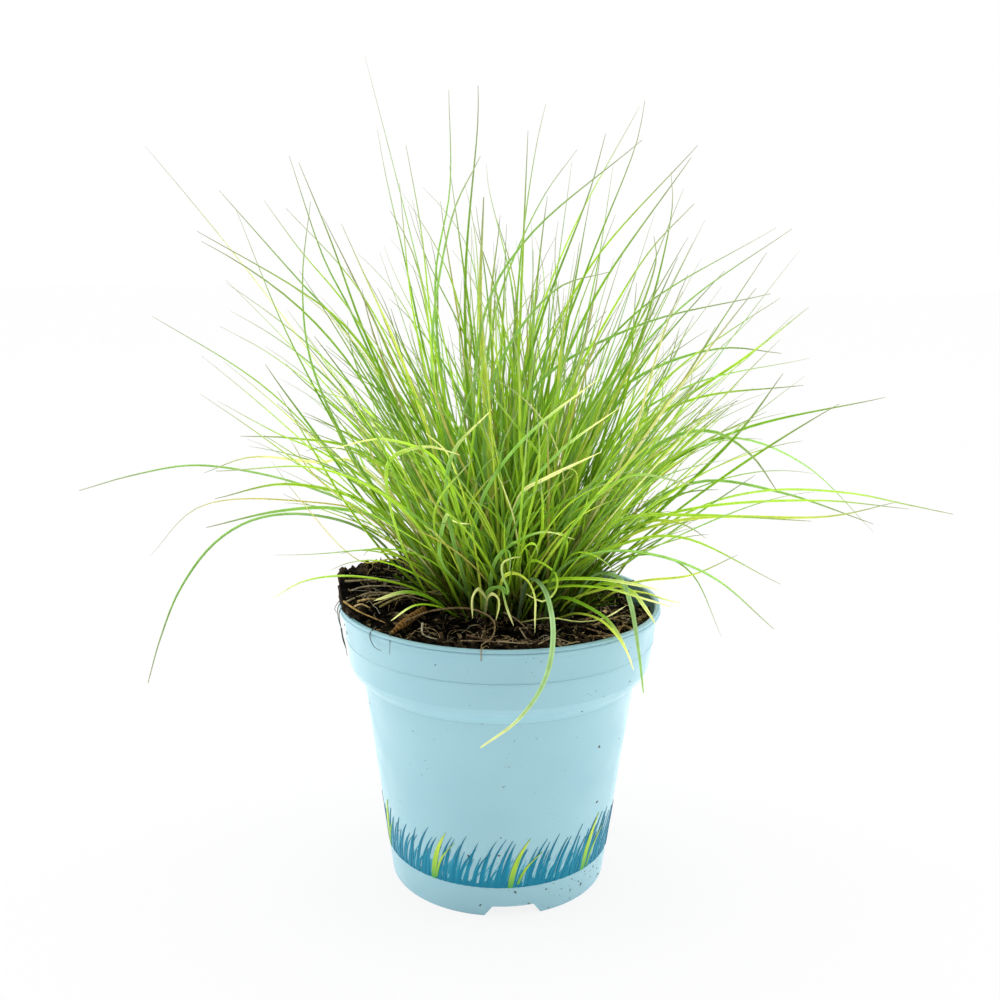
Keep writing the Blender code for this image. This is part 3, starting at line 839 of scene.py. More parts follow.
def make_compost(finish):
    rings = [surface_ring(ring) for ring in range(1, COMPOST_RINGS + 1)]
    edge = rings[-1][0]
    rings += [side_ring(edge, depth) for depth in SIDE_DEPTHS]
    rings += [inside_ring(edge, height, radius) for height, radius in INSIDE_RINGS]
    vertices = [(0.0, 0.0, rough_top(0.0, 0.0))]
    tints = [COMPOST_DARK]
    faces = [(0, 1 + k, 1 + (k + 1) % COMPOST_SPOKES) for k in range(COMPOST_SPOKES)]
    for number, (ring_points, ring_tints) in enumerate(rings):
        if number:
            inner = len(vertices) - COMPOST_SPOKES
            outer = len(vertices)
            for k in range(COMPOST_SPOKES):
                n = (k + 1) % COMPOST_SPOKES
                faces.append((inner + k, outer + k, outer + n, inner + n))
        vertices.extend(ring_points)
        tints.extend(ring_tints)
    faces.append(tuple(range(len(vertices) - COMPOST_SPOKES, len(vertices)))[::-1])
    piece = new_object("compost_surface", vertices, faces, finish)
    add_tints(piece.data, tints)
    keep(piece, "compost", "compost")


class Grains:
    """Many small lumps gathered in one mesh."""

    def __init__(self):
        ball = bmesh.new()
        bmesh.ops.create_icosphere(ball, subdivisions=1, radius=1.0)
        self.ball = np.array([v.co[:] for v in ball.verts])
        self.ball_faces = [tuple(v.index for v in f.verts) for f in ball.faces]
        ball.free()
        self.vertices = []
        self.faces = []
        self.tints = []

    def lump(self, chance):
        """A ball of radius 1 with each of its points pushed in or out."""
        return self.ball * np.array([[1.0 + chance.uniform(-0.35, 0.35)] for _ in self.ball])

    def add(self, points, tint=None):
        start = len(self.vertices)
        self.vertices.extend(points)
        self.faces.extend(tuple(start + i for i in face) for face in self.ball_faces)
        if tint is not None:
            self.tints.extend([tint] * len(points))

    def build(self, name, material):
        piece = new_object(name, self.vertices, self.faces, material)
        if self.tints:
            add_tints(piece.data, self.tints)
        return piece


def random_turn(chance):
    axis = Vector([chance.gauss(0.0, 1.0) for _ in range(3)])
    return np.array(Matrix.Rotation(chance.uniform(0.0, 6.3), 3, axis.normalized()))


def surface_point(chance, outer=0.97):
    """A random place on the compost, inside the pot's wall."""
    radius = COMPOST_RADIUS * outer * math.sqrt(chance.random())
    angle = chance.uniform(0.0, 2 * math.pi)
    x, y = radius * math.sin(angle), -radius * math.cos(angle)
    return np.array((x, y, rough_top(x, y)))


def peat_tint(chance):
    """Mostly dark, some brown, a few tan."""
    draw = chance.random()
    if draw < 0.62:
        return COMPOST_DARK + (COMPOST_BROWN - COMPOST_DARK) * chance.random() ** 3
    if draw < 0.87:
        return COMPOST_BROWN * chance.uniform(0.6, 2.3)
    return COMPOST_TAN * chance.uniform(0.5, 1.3)


def edge_point(chance):
    """A random place on the raised left edge, also on its side above the rim."""
    angle = chance.uniform(-2.5, -0.6)
    x, y = COMPOST_RADIUS * math.sin(angle), -COMPOST_RADIUS * math.cos(angle)
    top = rough_top(x, y)
    proud = smooth_step((top - POT_HEIGHT - 2.0 * MM) / (3.0 * MM))
    spread = chance.uniform(0.95, 0.975 + 0.045 * proud)
    x, y = x * spread, y * spread
    return np.array((x, y, chance.uniform(min(POT_HEIGHT + 1.3 * MM, top), top)))


def make_crumbs(finish):
    """Loose crumbs of peat, mostly fine, over the whole surface and along its raised edge."""
    chance = random.Random(21)
    grains = Grains()
    for k in range(CRUMBS):
        centre = surface_point(chance)
        if k < EDGE_CRUMBS:
            centre = edge_point(chance)
        size = chance.uniform(0.3, 1.0) ** 2 * 1.25 * MM + 0.2 * MM
        stretch = [chance.uniform(0.8, 1.7), chance.uniform(0.6, 1.1), chance.uniform(0.4, 0.8)]
        crumb = grains.lump(chance) * np.array(stretch) * size
        grains.add(centre + crumb @ random_turn(chance).T, peat_tint(chance) * 0.7)
    keep(grains.build("compost_crumbs", finish), "compost")


def make_chips(finish):
    """Flat shreds of bark and peat that lie and stand every way on the compost."""
    chance = random.Random(29)
    strands = Strands(FLAT_SECTION)
    for _ in range(CHIPS):
        middle = surface_point(chance, outer=0.95)
        size = chance.random() ** 2
        length = (1.4 + 5.2 * size) * MM
        heading = chance.uniform(0.0, 2 * math.pi)
        tilt = chance.gauss(0.0, 0.35)
        ahead = np.array((math.cos(heading) * math.cos(tilt), math.sin(heading) * math.cos(tilt),
                          math.sin(tilt)))
        bow = np.array((0.0, 0.0, chance.uniform(-0.15, 0.1) * length))
        bow[:2] = np.array((-ahead[1], ahead[0])) * chance.gauss(0.0, 0.12) * length
        route = []
        for t in (-0.5, -0.2, 0.15, 0.5):
            point = middle + ahead * length * t + bow * (1.0 - 4.0 * t * t)
            reach = math.hypot(point[0], point[1])
            if reach > COMPOST_RADIUS * 0.975:
                point[:2] *= COMPOST_RADIUS * 0.975 / reach
            point[2] += 0.3 * MM
            route.append(point)
        width = (0.25 + 0.95 * chance.random() ** 2) * MM * (0.6 + 0.6 * size)
        widths = np.array((0.55, 1.0, 0.85, 0.3)) * width
        brighter = 0.84 + 2.1 * smooth_step((middle[0] - 14.0 * MM) / (26.0 * MM))
        strands.add(np.array(route), widths, [peat_tint(chance) * brighter] * 4,
                    [chance.gauss(0.0, 0.5), chance.gauss(0.0, 0.5), 1.0])
    keep(strands.build("compost_chips", finish), "compost")


def make_fibres(finish):
    """Fine pale roots that lie and arch over the compost."""
    chance = random.Random(41)
    strands = Strands(ROUND_SECTION)
    for _ in range(FIBRES):
        x, y, _ = surface_point(chance, outer=0.93)
        length = chance.uniform(3.0, 13.0) * MM
        heading = chance.uniform(0.0, 2 * math.pi)
        turn = chance.uniform(-1.5, 1.5)
        rise = chance.uniform(0.0, 0.22) * length
        route = []
        for k in range(FIBRE_STEPS):
            t = k / (FIBRE_STEPS - 1)
            reach = max(math.hypot(x, y) / (COMPOST_RADIUS * 0.97), 1.0)
            height = 0.6 * MM + max(relief(x, y), 0.0) + rise * 4.0 * t * (1.0 - t)
            route.append((x / reach, y / reach, compost_top(x, y) + height))
            x += math.cos(heading + turn * t) * length / (FIBRE_STEPS - 1)
            y += math.sin(heading + turn * t) * length / (FIBRE_STEPS - 1)
        colour = COMPOST_TAN * chance.uniform(0.5, 1.6)
        if chance.random() < 0.3:
            colour = PALE_ROOT * chance.uniform(0.6, 1.3)
        widths = np.linspace(1.0, 0.5, FIBRE_STEPS) * chance.uniform(0.09, 0.17) * MM
        strands.add(np.array(route), widths, [colour] * FIBRE_STEPS, (0.1, 0.2, 1.0))
    keep(strands.build("root_fibres", finish), "compost")


# Rootlets and dead stems that can be told apart, in millimetres: half width, tint and route
LITTER = [
    (0.42, (0.30, 0.21, 0.11), (-35, -35, 108), (-25, -30, 111), (-11, -30, 112), (-3, -36, 110),
     (-3, -45, 107), (-6, -52, 107), (-7, -59, 108), (-7, -61, 104)),
    (0.30, (0.30, 0.24, 0.15), (6, -42, 109), (9, -46, 106), (15, -46, 106), (20, -40, 108)),
    (0.45, (0.38, 0.32, 0.20), (-57, -10, 116), (-44, -8, 116), (-30, -8, 115)),
    (0.42, (0.34, 0.27, 0.16), (-54, -18, 112), (-36, -14, 113), (-22, -14, 113)),
    (0.50, (0.42, 0.34, 0.14), (-43, -25, 111), (-36, -20, 113), (-22, -18, 115)),
    (0.40, (0.45, 0.42, 0.28), (-27, -40, 110), (-27, -42, 107), (-24, -44, 106), (-22, -45, 106)),
    (0.38, (0.36, 0.24, 0.08), (-56, -22, 112), (-50, -30, 111), (-40, -37, 109)),
    (0.34, (0.40, 0.30, 0.16), (1, -28, 110), (5, -32, 109), (9, -38, 107)),
    (0.34, (0.30, 0.20, 0.11), (30, -30, 105), (38, -34, 104), (46, -30, 104)),
    (0.45, (0.42, 0.27, 0.10), (40, -33, 103), (43, -30, 106), (47, -33, 104)),
    (0.28, (0.28, 0.20, 0.12), (-14, -47, 106), (-6, -50, 107), (0, -48, 106)),
    (0.50, (0.16, 0.10, 0.06), (-12, -44, 107), (-4, -47, 106), (3, -52, 105)),
    (0.22, (0.07, 0.12, 0.11), (-56, -12, 110), (-59.0, -13, 107.6), (-59.2, -14, 104),
     (-57.6, -16, 99)),
    (0.20, (0.07, 0.12, 0.11), (-54, -17, 110), (-57.9, -18, 107.6), (-57.2, -19.5, 100),
     (-55.9, -20.5, 95), (-55.2, -21.5, 91.5)),
    (0.34, (0.05, 0.09, 0.08), (-57.4, -19, 101), (-56.7, -20, 97), (-55.6, -21, 94)),
    (0.20, (0.08, 0.10, 0.08), (-58, -6, 109), (-60.2, -8, 106.8), (-61.0, -9, 105),
     (-60.2, -9, 103.6)),
    (0.20, (0.10, 0.11, 0.08), (-43, -38, 108), (-45, -40, 106), (-43.5, -41.5, 102),
     (-41, -43, 101)),
    (0.16, (0.10, 0.11, 0.08), (-38, -43, 108), (-37.6, -46.5, 106), (-37.8, -46.8, 101)),
    (0.34, (0.30, 0.26, 0.18), (-57, -12, 112), (-50, -14, 115), (-41, -16, 116), (-33, -16, 115)),
    (0.36, (0.34, 0.28, 0.17), (-56, -20, 111), (-47, -18, 114), (-36, -20, 114), (-26, -21, 112)),
    (0.30, (0.44, 0.36, 0.18), (-45, -26, 112), (-38, -22, 114), (-30, -18, 114.5),
     (-20, -17, 113)),
    (0.45, (0.46, 0.33, 0.14), (-51, -22, 112), (-47, -24, 113.5), (-43, -22, 113)),
    (0.40, (0.50, 0.38, 0.18), (-52, -25, 111), (-49, -27, 112.5), (-46, -28, 111.5)),
    (0.40, (0.46, 0.33, 0.16), (33, -24, 104), (39, -22, 106), (45, -24, 105)),
    (0.36, (0.50, 0.38, 0.18), (38, -18, 104), (45, -17, 105.5), (51, -19, 104.5)),
    (0.32, (0.44, 0.30, 0.15), (30, -36, 104), (37, -38, 105), (43, -36, 105)),
    (0.30, (0.40, 0.30, 0.18), (-2, -50, 107), (4, -53, 107.5), (10, -51, 106.5)),
    (0.30, (0.42, 0.32, 0.18), (12, -50, 106), (17, -48, 107.5), (23, -50, 106.5)),
]


def make_litter(finish):
    strands = Strands(ROUND_SECTION)
    for half_width, tint, *stops in LITTER:
        route = spline([np.array(stop) * MM for stop in stops], LITTER_STEPS)
        widths = half_width * MM * np.linspace(1.0, 0.45, LITTER_STEPS)
        strands.add(route, widths, [tint] * LITTER_STEPS, (0.1, 0.2, 1.0))
    keep(strands.build("rootlets", finish), "compost")


def wall_radius(height):
    """Outer radius of the pot at any height below the lip."""
    if height < SHOULDER_FOOT[1]:
        return body_radius(height)
    corners = (SHOULDER_FOOT, SHOULDER_KNEE, COLLAR_FOOT, COLLAR_STEP, COLLAR_TOP)
    return np.interp(height, [z for _, z in corners], [r for r, _ in corners])


def make_specks():
    """Crumbs of compost stuck to the outside of the pot, most at its foot and rim."""
    chance = random.Random(33)
    look = Nodes("stuck_compost", roughness=0.95, specular=0.2)
    grain = look.noise(look.position(), 900.0, detail=2.0)
    look.colour(look.ramp(grain, (0.35, (0.03, 0.04, 0.03)), (0.65, (0.14, 0.14, 0.09))))
    grains = Grains()
    up = np.array((0.0, 0.0, 1.0))
    for k in range(SPECKS):
        angle = chance.uniform(0.0, 2 * math.pi)
        z = chance.uniform(1.0, POT_HEIGHT / MM - 1.0) * MM
        size = chance.random() ** 4 * 0.55 * MM + 0.11 * MM
        if k < FOOT_SPECKS:
            angle = chance.gauss(0.75, 0.28)
            z = chance.uniform(0.6, 11.0) * MM
        elif k < FOOT_SPECKS + RIM_SPECKS:
            z = chance.uniform(98.0, 105.0) * MM
        out = np.array((math.sin(angle), -math.cos(angle), 0.0))
        side = np.array((math.cos(angle), math.sin(angle), 0.0))
        spin = chance.uniform(0.0, math.pi)
        along = side * math.cos(spin) + up * math.sin(spin)
        across = up * math.cos(spin) - side * math.sin(spin)
        centre = out * wall_radius(z) + up * z
        speck = grains.lump(chance) * size * np.array((chance.uniform(0.9, 1.9), 0.8, 0.45))
        grains.add(centre + speck[:, :1] * along + speck[:, 1:2] * across + speck[:, 2:] * out)
    keep(grains.build("pot_specks", look.material), "pot_plastic")


BARK_SIDES = 12
BARK_STEPS = 52
BARK_STOPS = [(-37.6, -41.0), (-34.5, -35.0), (-31.0, -28.0), (-27.4, -20.8)]
BARK_LIFT = 2.6 * MM
BARK_GROOVE = np.array((0.10, 0.045, 0.013))
BARK_RIDGE = np.array((0.42, 0.235, 0.07))


def make_bark():
    """The splinter of bark that leans on the rim, ridged across and thinner at its foot."""
    chance = random.Random(37)
    look = tinted_material("bark", 0.85, 0.1, 900.0, (0.45, 0.36, 0.26))
    angles = [2 * math.pi * k / BARK_SIDES for k in range(BARK_SIDES)]
    section = np.array([(math.cos(a), math.sin(a)) for a in angles])
    section *= np.array([[chance.uniform(0.82, 1.12)] for _ in angles])
    stops = [np.array(stop) * MM for stop in BARK_STOPS]
    route = spline([(x, y, compost_top(x, y) + BARK_LIFT) for x, y in stops], BARK_STEPS)
    widths, tints = [], []
    for k in range(BARK_STEPS):
        t = k / (BARK_STEPS - 1)
        ridge = 0.5 + 0.5 * math.sin(2 * math.pi * k / 4.0)
        swell = 0.55 + 0.85 * smooth_step(t / 0.35)
        widths.append(swell * (0.86 + 0.2 * ridge) * chance.uniform(0.94, 1.06))
        tints.append(BARK_GROOVE * (1.0 - ridge) + BARK_RIDGE * ridge)
    strands = Strands(section, np.array([chance.uniform(0.7, 1.2) for _ in angles]))
    strands.add(route, np.array(widths) * MM, tints, (0.0, 0.0, 1.0))
    keep(strands.build("bark_splinter", look), "bark", "bark_chip")


# --- Leaves -----------------------------------------------------------------------

TUFTS = 38
TUFT_LENGTH = 182.0 * MM
TUFT_EDGE_SHORTER = 46.0 * MM
TUFT_LENGTH_SPREAD = 0.07
TUFT_REACH = 0.86
TUFT_LEAN_ROOT = math.radians(46.0)
TUFT_LEAN_TIP = math.radians(61.0)
TUFT_DEPTH_LEAN = 0.10
TUFT_OUTLIERS = {4: (1.11, 0.72), 17: (1.17, 0.98)}
GOLDEN_ANGLE = math.pi * (3.0 - math.sqrt(5.0))
LEAVES_PER_TUFT = 30
FEWER_AT_EDGE = 10
FEWER_ON_LEFT = 8
LEAF_STATIONS = 22
LEAF_SPREAD = 3.8 * MM
LEAF_SWAY = 0.028
LEADER_REACH = 0.88
ROOT_LIFT = 0.5 * MM
SINGLE_STATIONS = 40
GROUP_STATIONS = 30

GREEN = np.array((0.200, 0.415, 0.014))
FRESH = np.array((0.385, 0.640, 0.030))
YELLOW = np.array((0.60, 0.72, 0.08))
BLUE = np.array((0.245, 0.475, 0.082))
PALE = np.array((0.90, 0.90, 0.36))
STRAW = np.array((0.52, 0.48, 0.10))
DRY_TIP = np.array((0.29, 0.33, 0.17))
ARCH_GREEN = np.array((0.33, 0.53, 0.22))
DROOP_GREEN = np.array((0.34, 0.54, 0.21))


def leaf_tints(main, count, tip=DRY_TIP, dry_from=0.72):
    """Colour along one leaf: a foot darkened as painted shade deep in the clump, its own green, and a
    dry end.
    """
    tints = []
    # Painted shade: the leaf darkens towards its foot over its lower half, less for pale leaves
    foot = 0.7 if main[0] > 0.5 else 0.28
    for k in range(count):
        t = k / (count - 1)
        colour = main * (foot + (1.0 - foot) * smooth_step(t / 0.52))
        dry = smooth_step((t - dry_from) / (1.0 - dry_from))
        tints.append(colour * (1.0 - dry) + tip * dry)
    return tints


def any_green(chance):
    draw = chance.random()
    if draw < 0.42:
        main = GREEN + (FRESH - GREEN) * chance.random()
    elif draw < 0.72:
        main = FRESH + (YELLOW - FRESH) * chance.random() ** 2
    elif draw < 0.92:
        main = BLUE + (GREEN - BLUE) * chance.uniform(0.0, 0.7)
    elif draw < 0.95:
        main = PALE * chance.uniform(0.65, 0.95)
    else:
        main = STRAW * chance.uniform(0.7, 1.1)
    return main * chance.uniform(0.85, 1.1)


def leaf_widths(width, count, taper_from=0.55, end=0.16):
    """Half width along a leaf: nearly even, then a long fine taper."""
    steps = np.linspace(0.0, 1.0, count)
    rise = 0.85 + 0.15 * np.minimum(steps / 0.15, 1.0)
    taper = np.clip((1.0 - steps) / (1.0 - taper_from), 0.0, 1.0) ** 0.8
    return 0.5 * width * rise * (end + (1.0 - end) * taper)


def grown_route(root, azimuth, lean_root, lean_tip, length, drift, bend_power, count):
    """A leaf's centre line: it leans over more and more and drifts sideways."""
    steps = np.linspace(0.0, 1.0, count)
    lean = lean_root + (lean_tip - lean_root) * steps ** bend_power
    turn = azimuth + drift * steps
    heading = np.stack([np.sin(lean) * np.cos(turn), np.sin(lean) * np.sin(turn), np.cos(lean)],
                       axis=1)
    middle = 0.5 * (heading[1:] + heading[:-1]) * length / (count - 1)
    return np.asarray(root) + np.concatenate((np.zeros((1, 3)), np.cumsum(middle, axis=0)))


def swayed(route, chance, amount):
    """The route with a slow random sway, growing from its fixed root."""
    steps = np.linspace(0.0, 1.0, len(route))[:, None]
    shift = np.zeros((1, 3))
    for waves in (1.0, 1.9):
        axis = np.array([chance.gauss(0.0, 1.0), chance.gauss(0.0, 1.0), chance.gauss(0.0, 0.5)])
        phase = chance.uniform(0.0, 2 * math.pi)
        wave = np.sin(2 * math.pi * waves * steps * 0.7 + phase) - math.sin(phase)
        shift = shift + wave * steps ** 0.6 * axis * amount / waves
    return route + shift


def tuft_plan(index, chance):
    """Root, azimuth, leans and length of one tuft, as the CAD has them."""
    share = math.sqrt((index + 0.5) / TUFTS)
    azimuth = index * GOLDEN_ANGLE
    out = np.array((math.cos(azimuth), math.sin(azimuth)))
    root = CROWN_CENTRE + out * CROWN_RADII * share * TUFT_REACH
    length = TUFT_LENGTH - TUFT_EDGE_SHORTER * share ** 2
    length *= 1.0 + TUFT_LENGTH_SPREAD * chance.uniform(-1.0, 1.0)
    longer, steeper = TUFT_OUTLIERS.get(index, (1.0, 1.0))
    bend = share * steeper * (1.0 - TUFT_DEPTH_LEAN * out[1] ** 2)
    return root, azimuth, TUFT_LEAN_ROOT * bend, TUFT_LEAN_TIP * bend, length * longer


def grow_leaf(strands, chance, tuft, leader_reach=None):
    """One leaf of a tuft. A leader, given its reach, follows the CAD's centre line."""
    root, azimuth, lean_root, lean_tip, length = tuft
    loose = 1.0 if leader_reach is None else 0.0
    around = chance.uniform(0.0, 2 * math.pi)
    away = LEAF_SPREAD * math.sqrt(chance.random())
    x = root[0] + away * math.cos(around)
    y = root[1] + away * math.sin(around)
    heading = azimuth + loose * chance.gauss(0.0, 0.42) / max(math.sin(lean_tip), 0.25)
    lean = lean_root * (1.0 - 0.22 * loose) + loose * chance.gauss(0.0, math.radians(7.0))
    reach = 0.32 + 0.50 * chance.random() ** 1.2
    if leader_reach is not None:
        reach = leader_reach
    bend = loose * (chance.gauss(math.radians(-1.0), math.radians(12.0))
                    + lean_root * chance.random() ** 3 * 0.9)
    power = chance.uniform(0.9, 2.0) if leader_reach is None else 1.0
    drift = loose * chance.gauss(0.0, 0.60)
    route = grown_route((x, y, compost_top(x, y) + ROOT_LIFT), heading, max(lean, 0.0),
                        lean_tip + bend, length * reach, drift, power, LEAF_STATIONS)
    route = swayed(route, chance, loose * LEAF_SWAY * length * reach)
    widths = leaf_widths(chance.uniform(0.67, 1.06) * MM, LEAF_STATIONS, 0.68)
    tints = leaf_tints(any_green(chance), LEAF_STATIONS, DRY_TIP, 0.62 + 0.36 * (1.0 - reach))
    facing = (-math.cos(heading), -math.sin(heading), 0.6)
    strands.add(route, widths, tints, facing, twist=chance.gauss(0.0, 1.2))


def make_tufts(finish):
    """The clump's own leaves, one mesh for each tuft of the CAD, fewer at the edge."""
    plan_chance = random.Random(11)
    chance = random.Random(3)
    for index in range(TUFTS):
        tuft = tuft_plan(index, plan_chance)
        to_left = max(-math.cos(tuft[1]), 0.0)
        fewer = (index + 0.5) / TUFTS * (FEWER_AT_EDGE + FEWER_ON_LEFT * to_left)
        strands = Strands(LEAF_SECTION, LEAF_PAINTED_SHADING)
        grow_leaf(strands, chance, tuft, 1.0 if index in TUFT_OUTLIERS else LEADER_REACH)
        for _ in range(LEAVES_PER_TUFT - round(fewer) - 1):
            grow_leaf(strands, chance, tuft)
        name = f"leaves_{index + 1:02d}"
        keep(strands.build(name, finish), "leaf", f"tuft_{index + 1:02d}")


# Leaves with a place of their own: width, colour, colour of the end, then the route from
# root to tip in millimetres. These stand for CAD nodes.
SINGLE_LEAVES = {
    "leaf_front_arch": (1.65, ARCH_GREEN, PALE * 0.8, (6, -25, 106), (9, -32, 123),
                        (14, -48, 124), (16, -64, 114), (13, -73, 102), (5, -75, 90),
                        (-7, -72, 79)),
    "leaf_right_droop": (1.6, DROOP_GREEN, BLUE * 1.2, (24, -20, 105), (32, -29, 124),
                         (40, -36, 125), (43, -45, 119), (45, -53, 106), (47, -55, 91)),
    "leaf_right_long": (1.7, BLUE * 1.15, DRY_TIP, (15, -25, 105), (20, -33, 127), (34, -42, 136),
                        (52, -48, 136), (70, -50, 129), (91, -48, 111)),
    "leaf_right_far": (1.4, FRESH, DRY_TIP, (36, 2, 103), (55, -5, 132), (75, -11, 146),
                       (96, -16, 152), (123, -21, 152), (141, -25, 149), (157, -27, 146)),
    "leaf_left_far": (1.6, BLUE * 0.9, DRY_TIP, (-28, 4, 107), (-48, 3, 137), (-70, 3, 148),
                      (-93, 4, 154), (-115, 5, 156), (-137, 5, 152), (-157, 6, 146)),
    "leaf_left_droop": (1.8, BLUE * 0.85, DRY_TIP, (-27, -6, 107), (-47, -11, 134), (-68, -15, 142),
                        (-87, -18, 141), (-101, -20, 133), (-114, -21, 116), (-122, -22, 97),
                        (-127, -22, 81)),
    "leaf_left_low": (1.5, FRESH * 1.1, PALE, (-20, -18, 107), (-29, -19, 115), (-43, -18, 119),
                      (-59, -17, 120), (-72, -15, 117), (-82, -14, 111)),
    "leaf_right_rim": (1.5, YELLOW, PALE, (32, -10, 104), (42, -12, 113), (52, -13, 113),
                       (60, -13, 110.5), (66, -13, 109)),
    "leaf_right_pale": (1.5, YELLOW * 1.1, PALE, (19, -24, 106), (26, -32, 111), (34, -44, 112),
                        (40, -54, 107), (43, -58, 100)),
    "leaf_back_high": (1.4, GREEN, DRY_TIP, (8, 28, 106), (13, 58, 143), (18, 92, 168),
                       (20, 130, 180)),
    "leaf_back_left": (1.4, FRESH, DRY_TIP, (-18, 24, 107), (-36, 48, 145), (-58, 78, 168),
                       (-82, 112, 172)),
    "leaf_back_right": (1.4, BLUE, DRY_TIP, (28, 23, 104), (48, 46, 135), (72, 76, 152),
                        (96, 104, 156)),
    "leaf_front_left": (1.2, FRESH, DRY_TIP, (-12, -24, 106), (-30, -54, 150), (-52, -90, 172),
                        (-74, -126, 178)),
    "leaf_front_right": (1.2, GREEN, DRY_TIP, (12, -27, 105), (22, -62, 150), (34, -98, 172),
                         (46, -130, 176)),
}

# The next ones are only looks. They have no colour of the end, and their root has no
# height, because it stands on the compost.
TALL_LEAVES = [
    (1.0, FRESH, (-14, 0), (-37, -1, 178), (-56, -3, 208), (-71, -5, 220), (-105, -10, 240)),
    (1.0, BLUE, (-12, 8), (-38, 11, 169), (-58, 15, 205), (-75, 19, 223), (-106, 30, 256)),
    (1.0, GREEN, (-18, -6), (-38, -8, 135), (-56, -12, 168), (-74, -20, 207), (-86, -35, 246)),
    (1.0, BLUE, (-10, 10), (-43, 14, 183), (-57, 21, 213), (-67, 28, 231), (-82, 45, 270)),
    (1.1, GREEN, (-10, -4), (-36, -6, 175), (-50, -9, 210), (-59, -12, 237), (-68, -20, 262)),
    (1.1, BLUE, (-16, -10), (-38, -13, 140), (-55, -18, 169), (-65, -26, 198), (-65, -38, 224),
     (-60, -50, 248)),
    (0.9, FRESH, (-10, 12), (-38, 20, 179), (-58, 31, 212), (-79, 45, 235), (-95, 60, 254)),
    (0.9, FRESH, (-8, 4), (-32, 5, 181), (-46, 6, 211), (-57, 8, 227), (-78, 10, 249)),
    (1.5, YELLOW, (-8, -12), (-25, -15, 169), (-37, -21, 204), (-45, -26, 223), (-52, -40, 242)),
    (1.1, FRESH, (-18, -8), (-36, -10, 150), (-57, -13, 179), (-79, -21, 199), (-94, -30, 209)),
    (1.0, FRESH, (-18, 6), (-38, 10, 150), (-61, 16, 179), (-80, 24, 199), (-107, 40, 223)),
    (1.0, GREEN, (-18, 2), (-48, 4, 170), (-67, 7, 191), (-85, 11, 204), (-100, 15, 212)),
    (1.0, GREEN, (-4, 10), (-27, 13, 191), (-36, 18, 231), (-44, 29, 264), (-47, 35, 279)),
    (0.9, FRESH, (-4, -8), (-24, -12, 204), (-28, -17, 241), (-32, -30, 267)),
    (1.0, BLUE, (-4, 12), (-21, 17, 179), (-25, 24, 224), (-20, 40, 258), (-21, 60, 297)),
    (0.9, FRESH, (-8, -14), (-22, -22, 174), (-30, -33, 215), (-32, -60, 253)),
    (1.2, GREEN, (-2, -8), (-12, -10, 183), (-13, -13, 228), (-9, -21, 276), (-9, -25, 286)),
    (1.2, BLUE, (-6, -16), (-18, -21, 163), (-24, -29, 198), (-17, -48, 243), (-8, -70, 260)),
    (1.1, GREEN, (6, 12), (6, 17, 180), (4, 24, 220), (-5, 40, 258), (-6, 50, 268)),
    (1.1, GREEN, (4, 4), (4, 5, 188), (7, 7, 238), (12, 12, 273), (15, 15, 286)),
    (2.2, YELLOW, (0, -14), (-6, -17, 183), (-8, -20, 218), (-7, -30, 251)),
    (1.0, BLUE, (2, 14), (-6, 21, 179), (-2, 31, 213), (16, 56, 255), (31, 70, 276)),
    (1.2, GREEN, (6, -8), (5, -11, 176), (13, -15, 211), (28, -24, 254), (32, -30, 271)),
    (1.1, FRESH, (6, 8), (5, 12, 173), (16, 18, 217), (27, 24, 244), (52, 40, 289)),
    (1.0, GREEN, (8, -2), (16, -3, 186), (30, -4, 230), (45, -8, 271), (47, -10, 284)),
    (1.1, BLUE, (-2, -14), (-10, -18, 184), (-5, -25, 218), (8, -33, 239), (41, -50, 267)),
    (1.0, GREEN, (12, 14), (17, 22, 160), (29, 34, 193), (38, 48, 228), (47, 80, 271)),
    (1.1, FRESH, (8, 6), (7, 8, 169), (18, 10, 203), (34, 13, 232), (71, 20, 273)),
    (1.2, GREEN, (10, -8), (10, -12, 162), (20, -18, 194), (32, -24, 222), (58, -40, 263)),
    (1.1, GREEN, (16, 12), (34, 18, 164), (53, 27, 202), (67, 48, 251), (68, 60, 267)),
    (1.1, FRESH, (10, -14), (16, -22, 174), (32, -33, 209), (45, -46, 234), (56, -60, 248)),
    (1.1, BLUE, (14, 0), (25, 0, 163), (46, 0, 196), (67, 0, 218), (102, 0, 243)),
    (1.0, GREEN, (12, 10), (15, 15, 157), (30, 22, 187), (53, 31, 213), (109, 50, 245)),
    (0.9, GREEN, (20, -10), (42, -15, 159), (61, -22, 190), (72, -31, 212), (81, -50, 234)),
    (1.3, BLUE, (6, -10), (3, -12, 169), (13, -15, 190), (46, -22, 210), (88, -30, 221)),
    (1.1, FRESH, (16, 6), (41, 10, 166), (65, 16, 191), (87, 23, 206), (107, 30, 218)),
    (1.2, FRESH, (18, -6), (43, -8, 154), (66, -12, 182), (84, -16, 198), (99, -20, 214)),
    (1.5, BLUE, (-2, -18), (-6, -22, 174), (-1, -28, 198), (16, -43, 222), (32, -60, 228)),
    (1.2, GREEN, (14, -16), (23, -23, 167), (38, -34, 199), (45, -60, 230), (42, -75, 238)),
]
